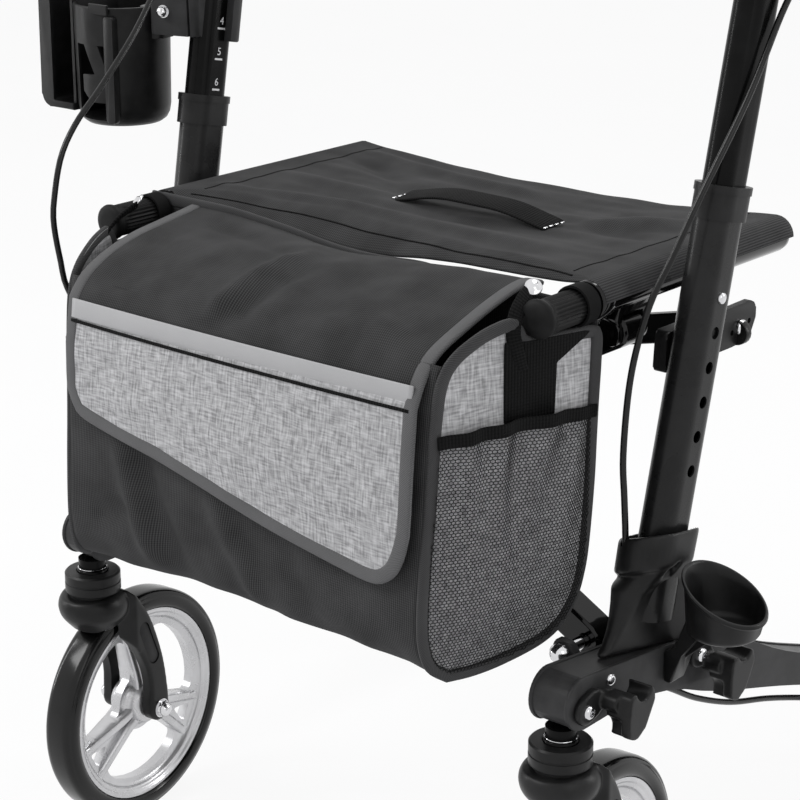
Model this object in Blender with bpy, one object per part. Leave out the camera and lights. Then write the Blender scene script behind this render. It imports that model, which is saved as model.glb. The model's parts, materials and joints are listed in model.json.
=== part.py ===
"""A folding four-wheel rollator in metres: +Z up, -Y the front, +X the user's left.

Every side piece is modelled once, for the left, and the right one hangs from a mirrored empty.
Lengths along Y start at the caster's swivel axis while the pieces are made. The last step moves
the whole model so that its origin is under the middle of its box.
"""

import math

import bmesh
import bpy
from mathutils import Matrix, Vector

# Clearances
GAP = 0.0003
PIVOT_GAP = 0.0004

# Wheels
WHEEL_RADIUS = 0.100
TYRE_WIDTH = 0.030
TREAD_WIDTH = 0.010
RIM_RADIUS = 0.0838
RIM_WIDTH = 0.0244
RIM_LIP = 0.0115
WEB_WIDTH = 0.010
HUB_RADIUS = 0.015
HUB_WIDTH = 0.031
AXLE_RADIUS = 0.004
WHEEL_STEPS = 28
SPOKES = 3
SPOKE_WIDTH = 0.017

# Casters
CASTER_TRAIL = 0.0467
CASTER_TURN = math.radians(4.8)
FORK_HALF_WIDTH = 0.028
FORK_SLOT_HALF = 0.018
FORK_SLOT_RADIUS = WHEEL_RADIUS + 0.004
FORK_TOP = 0.229
CAP_RADIUS = 0.023
CAP_TOP = 0.2365
STEM_RADIUS = 0.006
STEM_PIN_RADIUS = 0.005

# Side beam, in the plane of the caster axis
BEAM_X = 0.240
BEAM_THICK = 0.034
KNUCKLE_RADIUS = 0.020
KNUCKLE_Y = 0.003
KNUCKLE_Z = 0.268
BEAM_TOP_FRONT = 0.288
BEAM_TOP_SLOPE = -0.1054
BEAM_BEND_Y = 0.148
BEAM_REAR_SLOPE = -0.372
BEAM_REAR_TOP = (0.297, 0.204)
BEAM_REAR_BOTTOM = (0.300, 0.175)
BEAM_END_Y = 0.470

# Rear wheel and brake
REAR_AXLE_Y = 0.515
REAR_WHEEL_X = 0.278
REAR_AXLE_RADIUS = 0.004
BRACKET_HALF = 0.0215
BRAKE_PIVOT = (0.412, 0.158)
BRAKE_PIN_RADIUS = 0.004
SHOE_CLEARANCE = 0.0042
CHEEK_X = 0.0505
CHEEK_THICK = 0.004

# Upright: where its axis is at UPRIGHT_Z, and how it splays and leans
UPRIGHT_Z = 0.500
UPRIGHT_X = 0.2505
UPRIGHT_Y = 0.1372
SPLAY = 0.0285
LEAN = 0.1987
TUBE_LENGTH_Y = 0.040
TUBE_WIDTH_X = 0.028
TUBE_WALL = 0.0015
LOWER_TUBE_LOW = -0.205
LOWER_TUBE_HIGH = 0.104
UPPER_TUBE_HIGH = 0.413
UPPER_TUBE_OVERLAP = 0.030
TOP_HOLE = 0.0316
HOLE_PITCH = 0.025
HOLE_COUNT = 6
BUTTON_RADIUS = 0.0042
BUTTON_PROUD = 0.0025
COLLAR_LOW = 0.0835
COLLAR_HIGH = 0.1125
COLLAR_WALL = 0.004

# Foot: the open rim round the tube and the cable, along the upright's own Z
FOOT_RIM_LENGTH = 0.0690
FOOT_RIM_WIDTH = 0.0460
FOOT_RIM_WALL = 0.0025
FOOT_RIM_MIDDLE = -0.0056
FOOT_RIM_LOW = -0.1580
FOOT_RIM_HIGH = -0.1290

# Cross, rods and seat rails
ROD_X = 0.210
ROD_Z = 0.280
ROD_RADIUS = 0.005
ROD_LUGS = ((0.0405, 0.0470), (0.1235, 0.1300))
BAR_SIZE = 0.025
BAR_A_Y = 0.1065
BAR_B_Y = 0.0805
RAIL_X = 0.208
RAIL_Z = 0.535
RAIL_RADIUS = 0.0125
RAIL_FRONT = 0.062
RAIL_REAR = 0.327
RAIL_PIVOT_Z = 0.506
RAIL_PIN_RADIUS = 0.004
GRIP_FRONT = 0.004
GRIP_CORE = 0.009

# Folding stay
LINK_PIVOT = (0.214, 0.4827)
KNEE_Z = 0.4322
LINK_Y = (0.2225, 0.2325)
LINK_HALF = 0.0115
LINK_LAP = 0.036
LINK_PIN_RADIUS = 0.004
PLATE_X = (0.2300, 0.2352)

# Handles
HANDLE_X = 0.2625
GRIP_Z = 0.932
GRIP_START = 0.262
GRIP_LENGTH = 0.130
LEVER_PIVOT = (0.246, 0.905)
LEVER_HALF = 0.0058

# Soft goods
BAG_FRONT = -0.078
BAG_BACK = 0.062
BAG_FRONT_HALF = 0.175
BAG_BACK_HALF = 0.205
BAG_BOTTOM = 0.283
BAG_RIM_FRONT = 0.4900
BAG_RIM_BACK = 0.5435
BAG_WALL = 0.004
LOOP_Y = (0.016, 0.046)
LOOP_THICK = 0.002
FLAP_THICK = 0.004
FLAP_HALF = 0.165
SLING_FRONT = 0.095
SLING_REAR = 0.283
SLING_THICK = 0.0025
SLING_SAG = 0.012

# Cables
CABLE_RADIUS = 0.0024
CHANNEL_RADIUS = 0.0033
CABLE_POINTS = 42
CABLE_END_POINTS = 24


# Meshes


def finished(mesh, smooth_below=40):
    """Shades a mesh smooth but for its corners."""
    mesh.shade_smooth()
    mesh.set_sharp_from_angle(angle=math.radians(smooth_below))
    return mesh


def mesh_of(bm):
    """Turns a bmesh into a mesh whose faces point out."""
    bmesh.ops.recalc_face_normals(bm, faces=bm.faces)
    mesh = bpy.data.meshes.new("shape")
    bm.to_mesh(mesh)
    bm.free()
    return mesh


def on_axis(axis, a, b, along):
    """The 3-D point of outline coordinates a, b and a distance along X, Y or Z."""
    return {"X": (along, a, b), "Y": (a, along, b), "Z": (a, b, along)}[axis]


def prism(outline, low, high, axis="X", bevel=0.0, rounds=2):
    """An outline pushed from low to high along an axis, with both its rims rounded."""
    bm = bmesh.new()
    ends = [[bm.verts.new(on_axis(axis, a, b, along)) for a, b in outline] for along in (low, high)]
    caps = [bm.faces.new(end) for end in ends]
    for i in range(len(outline)):
        j = (i + 1) % len(outline)
        bm.faces.new((ends[0][i], ends[0][j], ends[1][j], ends[1][i]))
    if bevel:
        rims = [edge for cap in caps for edge in cap.edges]
        bmesh.ops.bevel(bm, geom=rims, offset=bevel, segments=rounds, affect="EDGES", profile=0.5)
    return mesh_of(bm)


def loft(loops):
    """A skin over loops of as many points each, closed at both ends."""
    bm = bmesh.new()
    rings = [[bm.verts.new(point) for point in loop] for loop in loops]
    bm.faces.new(rings[0])
    bm.faces.new(rings[-1])
    for low, high in zip(rings, rings[1:]):
        for i in range(len(low)):
            j = (i + 1) % len(low)
            bm.faces.new((low[i], low[j], high[j], high[i]))
    return mesh_of(bm)


def turned(profile, axis="Z", centre=(0, 0, 0), steps=24):
    """A profile of (radius, distance along the axis) points turned round an axis.

    It runs from the axis to the axis, or it is a closed outline that stays clear of it.
    """
    bm = bmesh.new()
    points = [bm.verts.new((radius, 0, along)) for radius, along in profile]
    edges = [bm.edges.new(pair) for pair in zip(points, points[1:])]
    if profile[0][0] > 0:
        edges.append(bm.edges.new((points[-1], points[0])))
    bmesh.ops.spin(
        bm, geom=points + edges, cent=(0, 0, 0), axis=(0, 0, 1),
        angle=2 * math.pi, steps=steps, use_merge=True,
    )
    bmesh.ops.remove_doubles(bm, verts=bm.verts, dist=1e-6)
    turn = {
        "Z": Matrix.Identity(4),
        "X": Matrix.Rotation(math.pi / 2, 4, "Y"),
        "Y": Matrix.Rotation(-math.pi / 2, 4, "X"),
    }[axis]
    half_step = Matrix.Rotation(math.pi / steps, 4, "Z")
    bm.transform(Matrix.Translation(centre) @ turn @ half_step)
    return mesh_of(bm)


def rod(radius, low, high, axis="X", at=(0, 0), steps=16):
    """A plain cylinder along an axis, at two outline coordinates."""
    return prism([(at[0] + a, at[1] + b) for a, b in stadium(2 * radius, 2 * radius, steps // 2)], low, high, axis)


def stadium(length, width, steps=6):
    """A slot shape round the origin, long along its second coordinate."""
    radius = width / 2
    straight = (length - width) / 2
    points = []
    for end in (1, -1):
        for i in range(steps + 1):
            angle = math.pi * i / steps + (0 if end > 0 else math.pi)
            points.append((radius * math.cos(angle), end * straight + radius * math.sin(angle)))
    if straight < 1e-6:
        points = [point for i, point in enumerate(points) if i not in (steps, 2 * steps + 1)]
    return points


def rounded(corners, radius, steps=3):
    """An outline with each corner replaced by an arc, limited by the sides beside it."""
    points = []
    count = len(corners)
    for i, corner in enumerate(corners):
        here = Vector(corner)
        before = Vector(corners[i - 1]) - here
        after = Vector(corners[(i + 1) % count]) - here
        turn = before.angle(after)
        reach = min(radius / math.tan(turn / 2), 0.45 * before.length, 0.45 * after.length)
        start = here + before.normalized() * reach
        end = here + after.normalized() * reach
        for k in range(steps + 1):
            t = k / steps
            points.append(tuple((1 - t) ** 2 * start + 2 * t * (1 - t) * here + t * t * end))
    return points


def strip(line, half):
    """The outline of a band of even thickness along an open line of points."""
    line = [Vector(point) for point in line]
    left, right = [], []
    for i, point in enumerate(line):
        run = line[min(i + 1, len(line) - 1)] - line[max(i - 1, 0)]
        side = Vector((-run.y, run.x)).normalized() * half
        left.append(tuple(point + side))
        right.append(tuple(point - side))
    return left + right[::-1]


def bar_outline(start, end, half, steps=6):
    """A flat bar's outline with a round end about each of two points."""
    start, end = Vector(start), Vector(end)
    run = (end - start).normalized()
    heading = math.atan2(run.y, run.x)
    points = []
    for centre, first in ((end, -0.5), (start, 0.5)):
        for i in range(steps + 1):
            angle = heading + math.pi * (first + i / steps)
            points.append((centre.x + half * math.cos(angle), centre.y + half * math.sin(angle)))
    return points


def combined(mesh, join=(), cut=()):
    """A mesh with other shapes joined to it, and then others cut out of it."""
    scene = bpy.context.scene.collection
    body = bpy.data.objects.new("body", mesh)
    scene.objects.link(body)
    tools = []
    for operation, shapes in (("UNION", join), ("DIFFERENCE", cut)):
        for shape in shapes:
            tool = bpy.data.objects.new("tool", shape)
            scene.objects.link(tool)
            tools.append(tool)
            boolean = body.modifiers.new(operation.lower(), "BOOLEAN")
            boolean.operation = operation
            boolean.solver = "EXACT"
            boolean.object = tool
    graph = bpy.context.evaluated_depsgraph_get()
    result = bpy.data.meshes.new_from_object(body.evaluated_get(graph))
    for helper in [body] + tools:
        bpy.data.objects.remove(helper)
    return result


def moved(mesh, matrix):
    """The same mesh after a matrix."""
    mesh.transform(matrix)
    return mesh


def upright_matrix():
    """The upright's own frame: its Z runs up the tube from the height UPRIGHT_Z."""
    along = Vector((SPLAY, LEAN, 1)).normalized()
    out = (Vector((1, 0, 0)) - along * along.x).normalized()
    across = along.cross(out)
    turn = Matrix((out, across, along)).transposed().to_4x4()
    return Matrix.Translation((UPRIGHT_X, UPRIGHT_Y, UPRIGHT_Z)) @ turn


# Objects


def material(name, colour, metallic, roughness):
    """One surface, with a Principled BSDF."""
    surface = bpy.data.materials.new(name)
    surface.use_nodes = True
    shader = surface.node_tree.nodes["Principled BSDF"]
    shader.inputs["Base Color"].default_value = (*colour, 1)
    shader.inputs["Metallic"].default_value = metallic
    shader.inputs["Roughness"].default_value = roughness
    surface.diffuse_color = (*colour, 1)
    return surface


def empty(name, parent=None, at=(0, 0, 0)):
    """A frame that other objects hang from."""
    holder = bpy.data.objects.new(name, None)
    bpy.context.scene.collection.objects.link(holder)
    holder.parent = parent
    holder.location = at
    return holder


def piece(name, mesh, parent, look, origin=(0, 0, 0)):
    """One object, whose origin is put at a point of the mesh's own space."""
    if not mesh.materials:
        finished(moved(mesh, Matrix.Translation(-Vector(origin))))
        mesh.materials.append(bpy.data.materials[look])
    made = bpy.data.objects.new(name, mesh)
    bpy.context.scene.collection.objects.link(made)
    made.parent = parent
    made.location = origin
    return made


def pair(name, mesh, parents, look, origin=(0, 0, 0)):
    """The same piece on both sides."""
    for side, parent in parents.items():
        piece(f"{name}_{side}", mesh, parent, look, origin)


def make_materials():
    """One look for each kind of surface."""
    material("frame_paint", (0.085, 0.088, 0.095), 0.35, 0.34)
    material("gloss_black_tube", (0.016, 0.016, 0.018), 0.2, 0.16)
    material("black_plastic", (0.032, 0.033, 0.036), 0.0, 0.48)
    material("grip_rubber", (0.022, 0.022, 0.024), 0.0, 0.75)
    material("tyre_rubber", (0.012, 0.012, 0.013), 0.0, 0.38)
    material("silver_rim", (0.48, 0.49, 0.51), 0.55, 0.32)
    material("chrome", (0.75, 0.76, 0.78), 1.0, 0.14)
    material("black_fabric", (0.035, 0.035, 0.037), 0.0, 0.9)
    material("grey_fabric", (0.30, 0.30, 0.31), 0.0, 0.9)
    material("cable_sheath", (0.015, 0.015, 0.016), 0.0, 0.42)


# Side frame


def beam_top(y):
    """Height of the beam's top edge at a distance along Y."""
    if y <= BEAM_BEND_Y:
        return BEAM_TOP_FRONT + BEAM_TOP_SLOPE * y
    return BEAM_REAR_TOP[1] + BEAM_REAR_SLOPE * (y - BEAM_REAR_TOP[0])


def beam_bottom(y):
    """Height of the straight rear stretch's lower edge."""
    return BEAM_REAR_BOTTOM[1] + BEAM_REAR_SLOPE * (y - BEAM_REAR_BOTTOM[0])


def beam_outline():
    """Side view of the beam, from the round knuckle back to its end in the rear bracket."""
    knuckle = []
    for i in range(9):
        angle = math.radians(-90 - 180 * i / 8)
        knuckle.append((KNUCKLE_Y + KNUCKLE_RADIUS * math.cos(angle), KNUCKLE_Z + KNUCKLE_RADIUS * math.sin(angle)))
    top = [(BEAM_BEND_Y, beam_top(BEAM_BEND_Y)), (0.186, 0.257), (0.222, 0.240), BEAM_REAR_TOP]
    rear = [(BEAM_END_Y, beam_top(BEAM_END_Y)), (BEAM_END_Y, beam_bottom(BEAM_END_Y))]
    under = [BEAM_REAR_BOTTOM, (0.178, 0.214), (0.130, 0.233), (0.112, 0.239), (0.086, 0.245), (0.037, 0.2485)]
    return knuckle + top + rear + under


def lug_outline():
    """Front view of the ear on the beam's inner face that holds the pivot rod."""
    inner = BEAM_X - BEAM_THICK / 2 + 0.003
    foot = [(inner, 0.260), (inner, 0.272), (inner - 0.004, 0.2735)]
    top = [(ROD_X + 0.007, ROD_Z + 0.0085), (ROD_X - 0.006, ROD_Z + 0.0095)]
    bottom = [(ROD_X - 0.0095, ROD_Z), (ROD_X - 0.004, ROD_Z - 0.0095)]
    return foot[:2] + rounded(foot[2:] + top + bottom, 0.003)


def make_side_beam(parents, channel):
    half = BEAM_THICK / 2
    beam = prism(beam_outline(), BEAM_X - half, BEAM_X + half, bevel=0.004)
    lugs = [prism(lug_outline(), low, high, "Y") for low, high in ROD_LUGS]
    rod_hole = rod(ROD_RADIUS + GAP, 0.02, 0.16, "Y", (ROD_X, ROD_Z))
    socket = rod(STEM_RADIUS + GAP, 0.235, 0.2748, "Z", (BEAM_X, 0))
    mesh = combined(beam, join=lugs, cut=[rod_hole, socket, channel])
    pair("side_beam", mesh, parents, "frame_paint")


def make_foot_bracket(parents, channel):
    """The plastic foot: a rim round the tube, a neck, and a base that lies along the beam."""
    frame = upright_matrix()

    def ring(along, grow, middle=FOOT_RIM_MIDDLE):
        outline = stadium(FOOT_RIM_LENGTH + grow, FOOT_RIM_WIDTH + grow, 6)
        return [frame @ Vector((a, middle + b, along)) for a, b in outline]

    def low_ring(z, middle, length, width, slope):
        x = BEAM_X + 0.5 * SPLAY * (z - BEAM_TOP_FRONT)
        return [Vector((x + a, middle + b, z + slope * b)) for a, b in stadium(length, width, 6)]

    base_middle = 0.0945
    base_z = beam_top(base_middle) + GAP
    loops = [
        low_ring(base_z, base_middle, 0.107, 0.034, BEAM_TOP_SLOPE),
        low_ring(base_z + 0.007, base_middle, 0.100, 0.035, BEAM_TOP_SLOPE),
        low_ring(0.300, 0.0965, 0.078, 0.039, -0.13),
        low_ring(0.318, 0.1000, 0.063, 0.043, -0.17),
        ring(FOOT_RIM_LOW - 0.003, -0.006, -0.004),
        ring(FOOT_RIM_LOW, 0),
        ring(FOOT_RIM_HIGH - 0.001, 0),
        ring(FOOT_RIM_HIGH, -0.001),
    ]
    hollow = prism(
        stadium(FOOT_RIM_LENGTH - 2 * FOOT_RIM_WALL, FOOT_RIM_WIDTH - 2 * FOOT_RIM_WALL, 6),
        FOOT_RIM_LOW + 0.008, FOOT_RIM_HIGH + 0.02, "Z",
    )
    hollow = moved(hollow, frame @ Matrix.Translation((0, FOOT_RIM_MIDDLE, 0)))
    bore = moved(prism(stadium(TUBE_LENGTH_Y + 2 * GAP, TUBE_WIDTH_X + 2 * GAP, 8), LOWER_TUBE_LOW - GAP, -0.10, "Z"), frame)
    mesh = combined(loft(loops), cut=[bore, hollow, channel])
    pair("foot_bracket", mesh, parents, "black_plastic")


def make_lower_upright(parents):
    frame = upright_matrix()
    tube = prism(stadium(TUBE_LENGTH_Y, TUBE_WIDTH_X, 8), LOWER_TUBE_LOW, LOWER_TUBE_HIGH, "Z")
    inside = stadium(TUBE_LENGTH_Y - 2 * TUBE_WALL, TUBE_WIDTH_X - 2 * TUBE_WALL, 8)
    hollow = prism(inside, LOWER_TUBE_LOW - 0.01, LOWER_TUBE_HIGH + 0.01, "Z")
    holes = [
        rod(BUTTON_RADIUS + GAP, 0.005, 0.020, "X", (0, TOP_HOLE - HOLE_PITCH * i), 12)
        for i in range(HOLE_COUNT)
    ]
    mesh = moved(combined(tube, cut=[hollow] + holes), frame)
    pair("lower_upright", mesh, parents, "frame_paint")


def upper_size():
    """Length and width of the inner tube, which slides in the lower one."""
    loss = 2 * (TUBE_WALL + GAP)
    return TUBE_LENGTH_Y - loss, TUBE_WIDTH_X - loss


def make_upright_collar(parents):
    length, width = upper_size()
    outer = stadium(TUBE_LENGTH_Y + 2 * COLLAR_WALL, TUBE_WIDTH_X + 2 * COLLAR_WALL, 8)
    sleeve = prism(outer, COLLAR_LOW, COLLAR_HIGH, "Z", bevel=0.0015, rounds=1)
    lower = stadium(TUBE_LENGTH_Y + 2 * GAP, TUBE_WIDTH_X + 2 * GAP, 8)
    lip = stadium(length + 2 * GAP, width + 2 * GAP, 8)
    cuts = [
        prism(lower, COLLAR_LOW - 0.01, LOWER_TUBE_HIGH + GAP, "Z"),
        prism(lip, COLLAR_LOW - 0.01, COLLAR_HIGH + 0.01, "Z"),
    ]
    pair("upright_collar", moved(combined(sleeve, cut=cuts), upright_matrix()), parents, "black_plastic")


def make_upper_upright(parents):
    length, width = upper_size()
    low = TOP_HOLE - UPPER_TUBE_OVERLAP
    tube = prism(stadium(length, width, 8), low, UPPER_TUBE_HIGH, "Z")
    inside = stadium(length - 2 * TUBE_WALL, width - 2 * TUBE_WALL, 8)
    hollow = prism(inside, low - 0.01, UPPER_TUBE_HIGH + 0.01, "Z")
    hole = rod(BUTTON_RADIUS + GAP, 0.005, 0.020, "X", (0, TOP_HOLE), 12)
    mesh = moved(combined(tube, cut=[hollow, hole]), upright_matrix())
    pair("upper_upright", mesh, parents, "gloss_black_tube")


def make_height_button(parents):
    """The domed snap button, with its flange behind the inner tube's wall."""
    face = upper_size()[1] / 2 - TUBE_WALL
    out = TUBE_WIDTH_X / 2 + BUTTON_PROUD
    flange = BUTTON_RADIUS + 0.002
    profile = [
        (0, face - 0.0024), (flange, face - 0.0024), (flange, face - GAP), (BUTTON_RADIUS, face - GAP),
        (BUTTON_RADIUS, out - 0.0015), (BUTTON_RADIUS * 0.7, out - 0.0004), (0, out),
    ]
    button = turned(profile, "X", (0, 0, TOP_HOLE), 12)
    origin = upright_matrix() @ Vector((face, 0, TOP_HOLE))
    pair("height_button", moved(button, upright_matrix()), parents, "chrome", origin)


def make_frame_bracket(parents):
    """The plate behind the upright: its saddle, its screw and the ear of the folding stay."""
    plate_outline = rounded([(0.130, 0.461), (0.212, 0.466), (0.248, 0.473), (0.248, 0.503), (0.225, 0.509), (0.130, 0.504)], 0.010)
    plate = prism(plate_outline, *PLATE_X)
    saddle_outline = [(0.122, 0.461), (0.160, 0.461), (0.166, 0.504), (0.128, 0.504)]
    saddle = prism(rounded(saddle_outline, 0.003), 0.2150, 0.2420)
    screw = turned([(0, 0), (0.006, 0), (0.006, 0.0015), (0.0035, 0.003), (0, 0.003)], "X", (PLATE_X[1] - 0.0005, 0.219, 0.486), 12)
    ear_outline = bar_outline((LINK_PIVOT[0], LINK_PIVOT[1]), (PLATE_X[0] + 0.014, LINK_PIVOT[1]), 0.0115)
    ear = prism([point for point in ear_outline], LINK_Y[0] - 0.008, LINK_Y[0] - GAP, "Y")
    pin = rod(LINK_PIN_RADIUS, LINK_Y[0] - 0.005, LINK_Y[1] + 0.001, "Y", LINK_PIVOT, 12)
    head = turned([(0, 0), (0.0068, 0), (0.0068, 0.0015), (0.004, 0.003), (0, 0.003)], "Y", (LINK_PIVOT[0], LINK_Y[1] + GAP, LINK_PIVOT[1]), 12)
    frame = upright_matrix()
    tube = stadium(TUBE_LENGTH_Y + 2 * GAP, TUBE_WIDTH_X + 2 * GAP, 8)
    bore = moved(prism(tube, -0.08, 0.05, "Z"), frame)
    side_cut = prism([(0.10, 0.44), (0.26, 0.44), (0.26, 0.52), (0.10, 0.52)], PLATE_X[1] + 0.004, 0.27)
    holes = [rod(0.002, PLATE_X[0] - 0.01, PLATE_X[1] + 0.01, "X", (y, 0.485), 10) for y in (0.208, 0.2325)]
    mesh = combined(plate, join=[saddle, screw, ear, pin, head], cut=[bore, side_cut] + holes[:1])
    pair("frame_bracket", mesh, parents, "black_plastic")


def make_fold_link(parents):
    """Two halves of the folding stay, halved at the knee so that they lie in one plane."""
    middle = (LINK_Y[0] + LINK_Y[1]) / 2
    knee = (0.0, KNEE_Z)
    bore = (LINK_PIVOT[0], LINK_PIVOT[1])
    for side, parent in parents.items():
        front = side == "left"
        keep = (LINK_Y[0], middle - GAP) if front else (middle + GAP, LINK_Y[1])
        away = (keep[1], LINK_Y[1] + 0.01) if front else (LINK_Y[0] - 0.01, keep[0])
        bar = prism(bar_outline(knee, LINK_PIVOT, LINK_HALF), *LINK_Y, "Y", bevel=0.001, rounds=1)
        lap_cut = prism([(-0.02, 0.40), (LINK_LAP, 0.40), (LINK_LAP, 0.48), (-0.02, 0.48)], *away, "Y")
        hole = rod(LINK_PIN_RADIUS + PIVOT_GAP, LINK_Y[0] - 0.01, LINK_Y[1] + 0.01, "Y", bore, 12)
        head_at = keep[0] + 0.0005 if front else keep[1] - 0.0005
        out = -1 if front else 1
        dome = [(0, 0), (0.0075, 0), (0.0075, out * 0.002), (0.004, out * 0.0035), (0, out * 0.0035)]
        head = turned(dome, "Y", (0, head_at, KNEE_Z), 12)
        mesh = combined(combined(bar, cut=[lap_cut, hole]), join=[head])
        piece(f"fold_link_{side}", mesh, parent, "frame_paint", (LINK_PIVOT[0], middle, LINK_PIVOT[1]))


# Cross and seat


def cross_centre():
    """Where the two bars cross, in the plane of symmetry."""
    share = ROD_X / (ROD_X + RAIL_X)
    return (0.0, ROD_Z + (RAIL_PIVOT_Z - ROD_Z) * share)


def make_cross_bar(name, side, y, parent):
    """A square tube from the rod on one side to the rail on the other."""
    low, high = (side * ROD_X, ROD_Z), (-side * RAIL_X, RAIL_PIVOT_Z)
    half = BAR_SIZE / 2
    bar = prism(bar_outline(low, high, half), y - half, y + half, "Y", bevel=0.002, rounds=1)
    holes = [
        rod(radius + PIVOT_GAP, y - 0.03, y + 0.03, "Y", at, 12)
        for radius, at in ((ROD_RADIUS, low), (RAIL_PIN_RADIUS, high), (RAIL_PIN_RADIUS, cross_centre()))
    ]
    mesh = combined(bar, cut=holes)
    origin = (low[0], y, low[1]) if side > 0 else (cross_centre()[0], y, cross_centre()[1])
    piece(name, mesh, parent, "gloss_black_tube", origin)


def dome(radius, height):
    """Profile of a domed nut from its flat face to its tip."""
    return [(0, 0), (radius, 0), (radius, height * 0.4), (radius * 0.72, height * 0.8), (0, height)]


def make_pivot_rod(parents):
    front, rear = ROD_LUGS[0][0] - GAP, ROD_LUGS[1][1] + GAP
    nut = 0.0078
    profile = [
        (0, front - 0.0095), (nut * 0.6, front - 0.0085), (nut, front - 0.005), (nut, front), (ROD_RADIUS, front),
        (ROD_RADIUS, rear), (nut, rear), (nut, rear + 0.005), (nut * 0.6, rear + 0.008), (0, rear + 0.009),
    ]
    mesh = turned(profile, "Y", (ROD_X, 0, ROD_Z), 12)
    pair("pivot_rod", mesh, parents, "chrome")


def make_cross_bolt(parent):
    front = BAR_B_Y - BAR_SIZE / 2 - GAP
    rear = BAR_A_Y + BAR_SIZE / 2 + GAP
    x, z = cross_centre()
    head = 0.008
    profile = [
        (0, front - 0.0045), (head * 0.6, front - 0.0038), (head, front - 0.001), (head, front),
        (RAIL_PIN_RADIUS, front), (RAIL_PIN_RADIUS, rear), (head, rear), (head, rear + 0.0045), (0, rear + 0.0045),
    ]
    piece("cross_pivot_bolt", turned(profile, "Y", (x, 0, z), 12), parent, "chrome")


def make_seat_rail(name, parent, bar_y):
    """The round rail, its front spigot and ring, and the flat bar and ears under it."""
    profile = [
        (0, 0.014), (GRIP_CORE, 0.014), (GRIP_CORE, RAIL_FRONT), (RAIL_RADIUS + 0.002, RAIL_FRONT),
        (RAIL_RADIUS + 0.002, RAIL_FRONT + 0.015), (RAIL_RADIUS, RAIL_FRONT + 0.015), (RAIL_RADIUS, RAIL_REAR - 0.008),
        (RAIL_RADIUS * 0.85, RAIL_REAR - 0.002), (RAIL_RADIUS * 0.5, RAIL_REAR), (0, RAIL_REAR),
    ]
    rail = turned(profile, "Y", (RAIL_X, 0, RAIL_Z), 16)
    half = BAR_SIZE / 2
    start = bar_y - half - 0.008
    under_top = RAIL_Z - RAIL_RADIUS + 0.004
    outline = [(start + 0.006, under_top), (start, 0.518), (start + 0.004, 0.512), (0.300, 0.512), (0.300, under_top)]
    under = prism(outline, RAIL_X - 0.008, RAIL_X + 0.008)
    ear = rounded([(RAIL_X - 0.009, 0.5155), (RAIL_X - 0.009, 0.497), (RAIL_X + 0.009, 0.497), (RAIL_X + 0.009, 0.5155)], 0.007)
    side_gap = 0.0005
    ears = [
        prism(ear, bar_y - half - side_gap - 0.005, bar_y - half - side_gap, "Y"),
        prism(ear, bar_y + half + side_gap, bar_y + half + side_gap + 0.005, "Y"),
    ]
    clear = RAIL_PIVOT_Z + half + 0.0007
    notch_ends = (bar_y - half - side_gap, bar_y + half + side_gap)
    notch = prism([(RAIL_X - 0.03, 0.48), (RAIL_X + 0.03, 0.48), (RAIL_X + 0.03, clear), (RAIL_X - 0.03, clear)], *notch_ends, "Y")
    body = combined(combined(rail, join=[under]), join=ears, cut=[notch])
    pin = rod(RAIL_PIN_RADIUS, bar_y - half - 0.003, bar_y + half + 0.003, "Y", (RAIL_X, RAIL_PIVOT_Z), 12)
    piece(name, combined(body, join=[pin]), parent, "gloss_black_tube", (RAIL_X, bar_y, RAIL_PIVOT_Z))


def make_front_grip(parents):
    """The sleeve and end disc on the rail's spigot."""
    bore = GRIP_CORE + GAP
    profile = [
        (0, GRIP_FRONT - 0.001), (0.011, GRIP_FRONT), (0.014, GRIP_FRONT + 0.002), (0.014, GRIP_FRONT + 0.006),
        (RAIL_RADIUS, GRIP_FRONT + 0.006), (RAIL_RADIUS, RAIL_FRONT - GAP), (bore, RAIL_FRONT - GAP),
        (bore, 0.014 - GAP), (0, 0.014 - GAP),
    ]
    pair("front_grip", turned(profile, "Y", (RAIL_X, 0, RAIL_Z), 16), parents, "grip_rubber")


# Wheels


def rim_mesh(x):
    """A wheel rim about an axle along X: lip, web, hub and three windows."""
    half, web, hub = RIM_WIDTH / 2, WEB_WIDTH / 2, HUB_WIDTH / 2
    inner = RIM_RADIUS - RIM_LIP
    outline = [
        (RIM_RADIUS, -half), (RIM_RADIUS, half), (inner + 0.003, half), (inner, web),
        (HUB_RADIUS + 0.004, web), (HUB_RADIUS, hub), (AXLE_RADIUS + PIVOT_GAP, hub),
        (AXLE_RADIUS + PIVOT_GAP, -hub), (HUB_RADIUS, -hub), (HUB_RADIUS + 0.004, -web),
        (inner, -web), (inner + 0.003, -half),
    ]
    disc = turned(outline, "X", (x, 0, 0), WHEEL_STEPS)
    reach = (HUB_RADIUS + 0.009, inner - 0.002)
    windows = []
    for i in range(SPOKES):
        windows.append(prism(window_outline(i, reach), x - 0.03, x + 0.03))
    return combined(disc, cut=windows)


def window_outline(index, reach):
    """The large opening between two spokes."""
    low, high = reach
    middle = 2 * math.pi * (index + 0.5) / SPOKES + math.pi / 2
    spread_low, spread_high = math.pi / SPOKES - math.atan(SPOKE_WIDTH / low), math.pi / SPOKES - math.atan(SPOKE_WIDTH * 1.35 / high)
    points = []
    for radius, spread in ((low, spread_low), (high, -spread_high)):
        for k in range(5):
            angle = middle + spread * (k / 2 - 1)
            points.append((radius * math.cos(angle), radius * math.sin(angle)))
    return points


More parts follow.
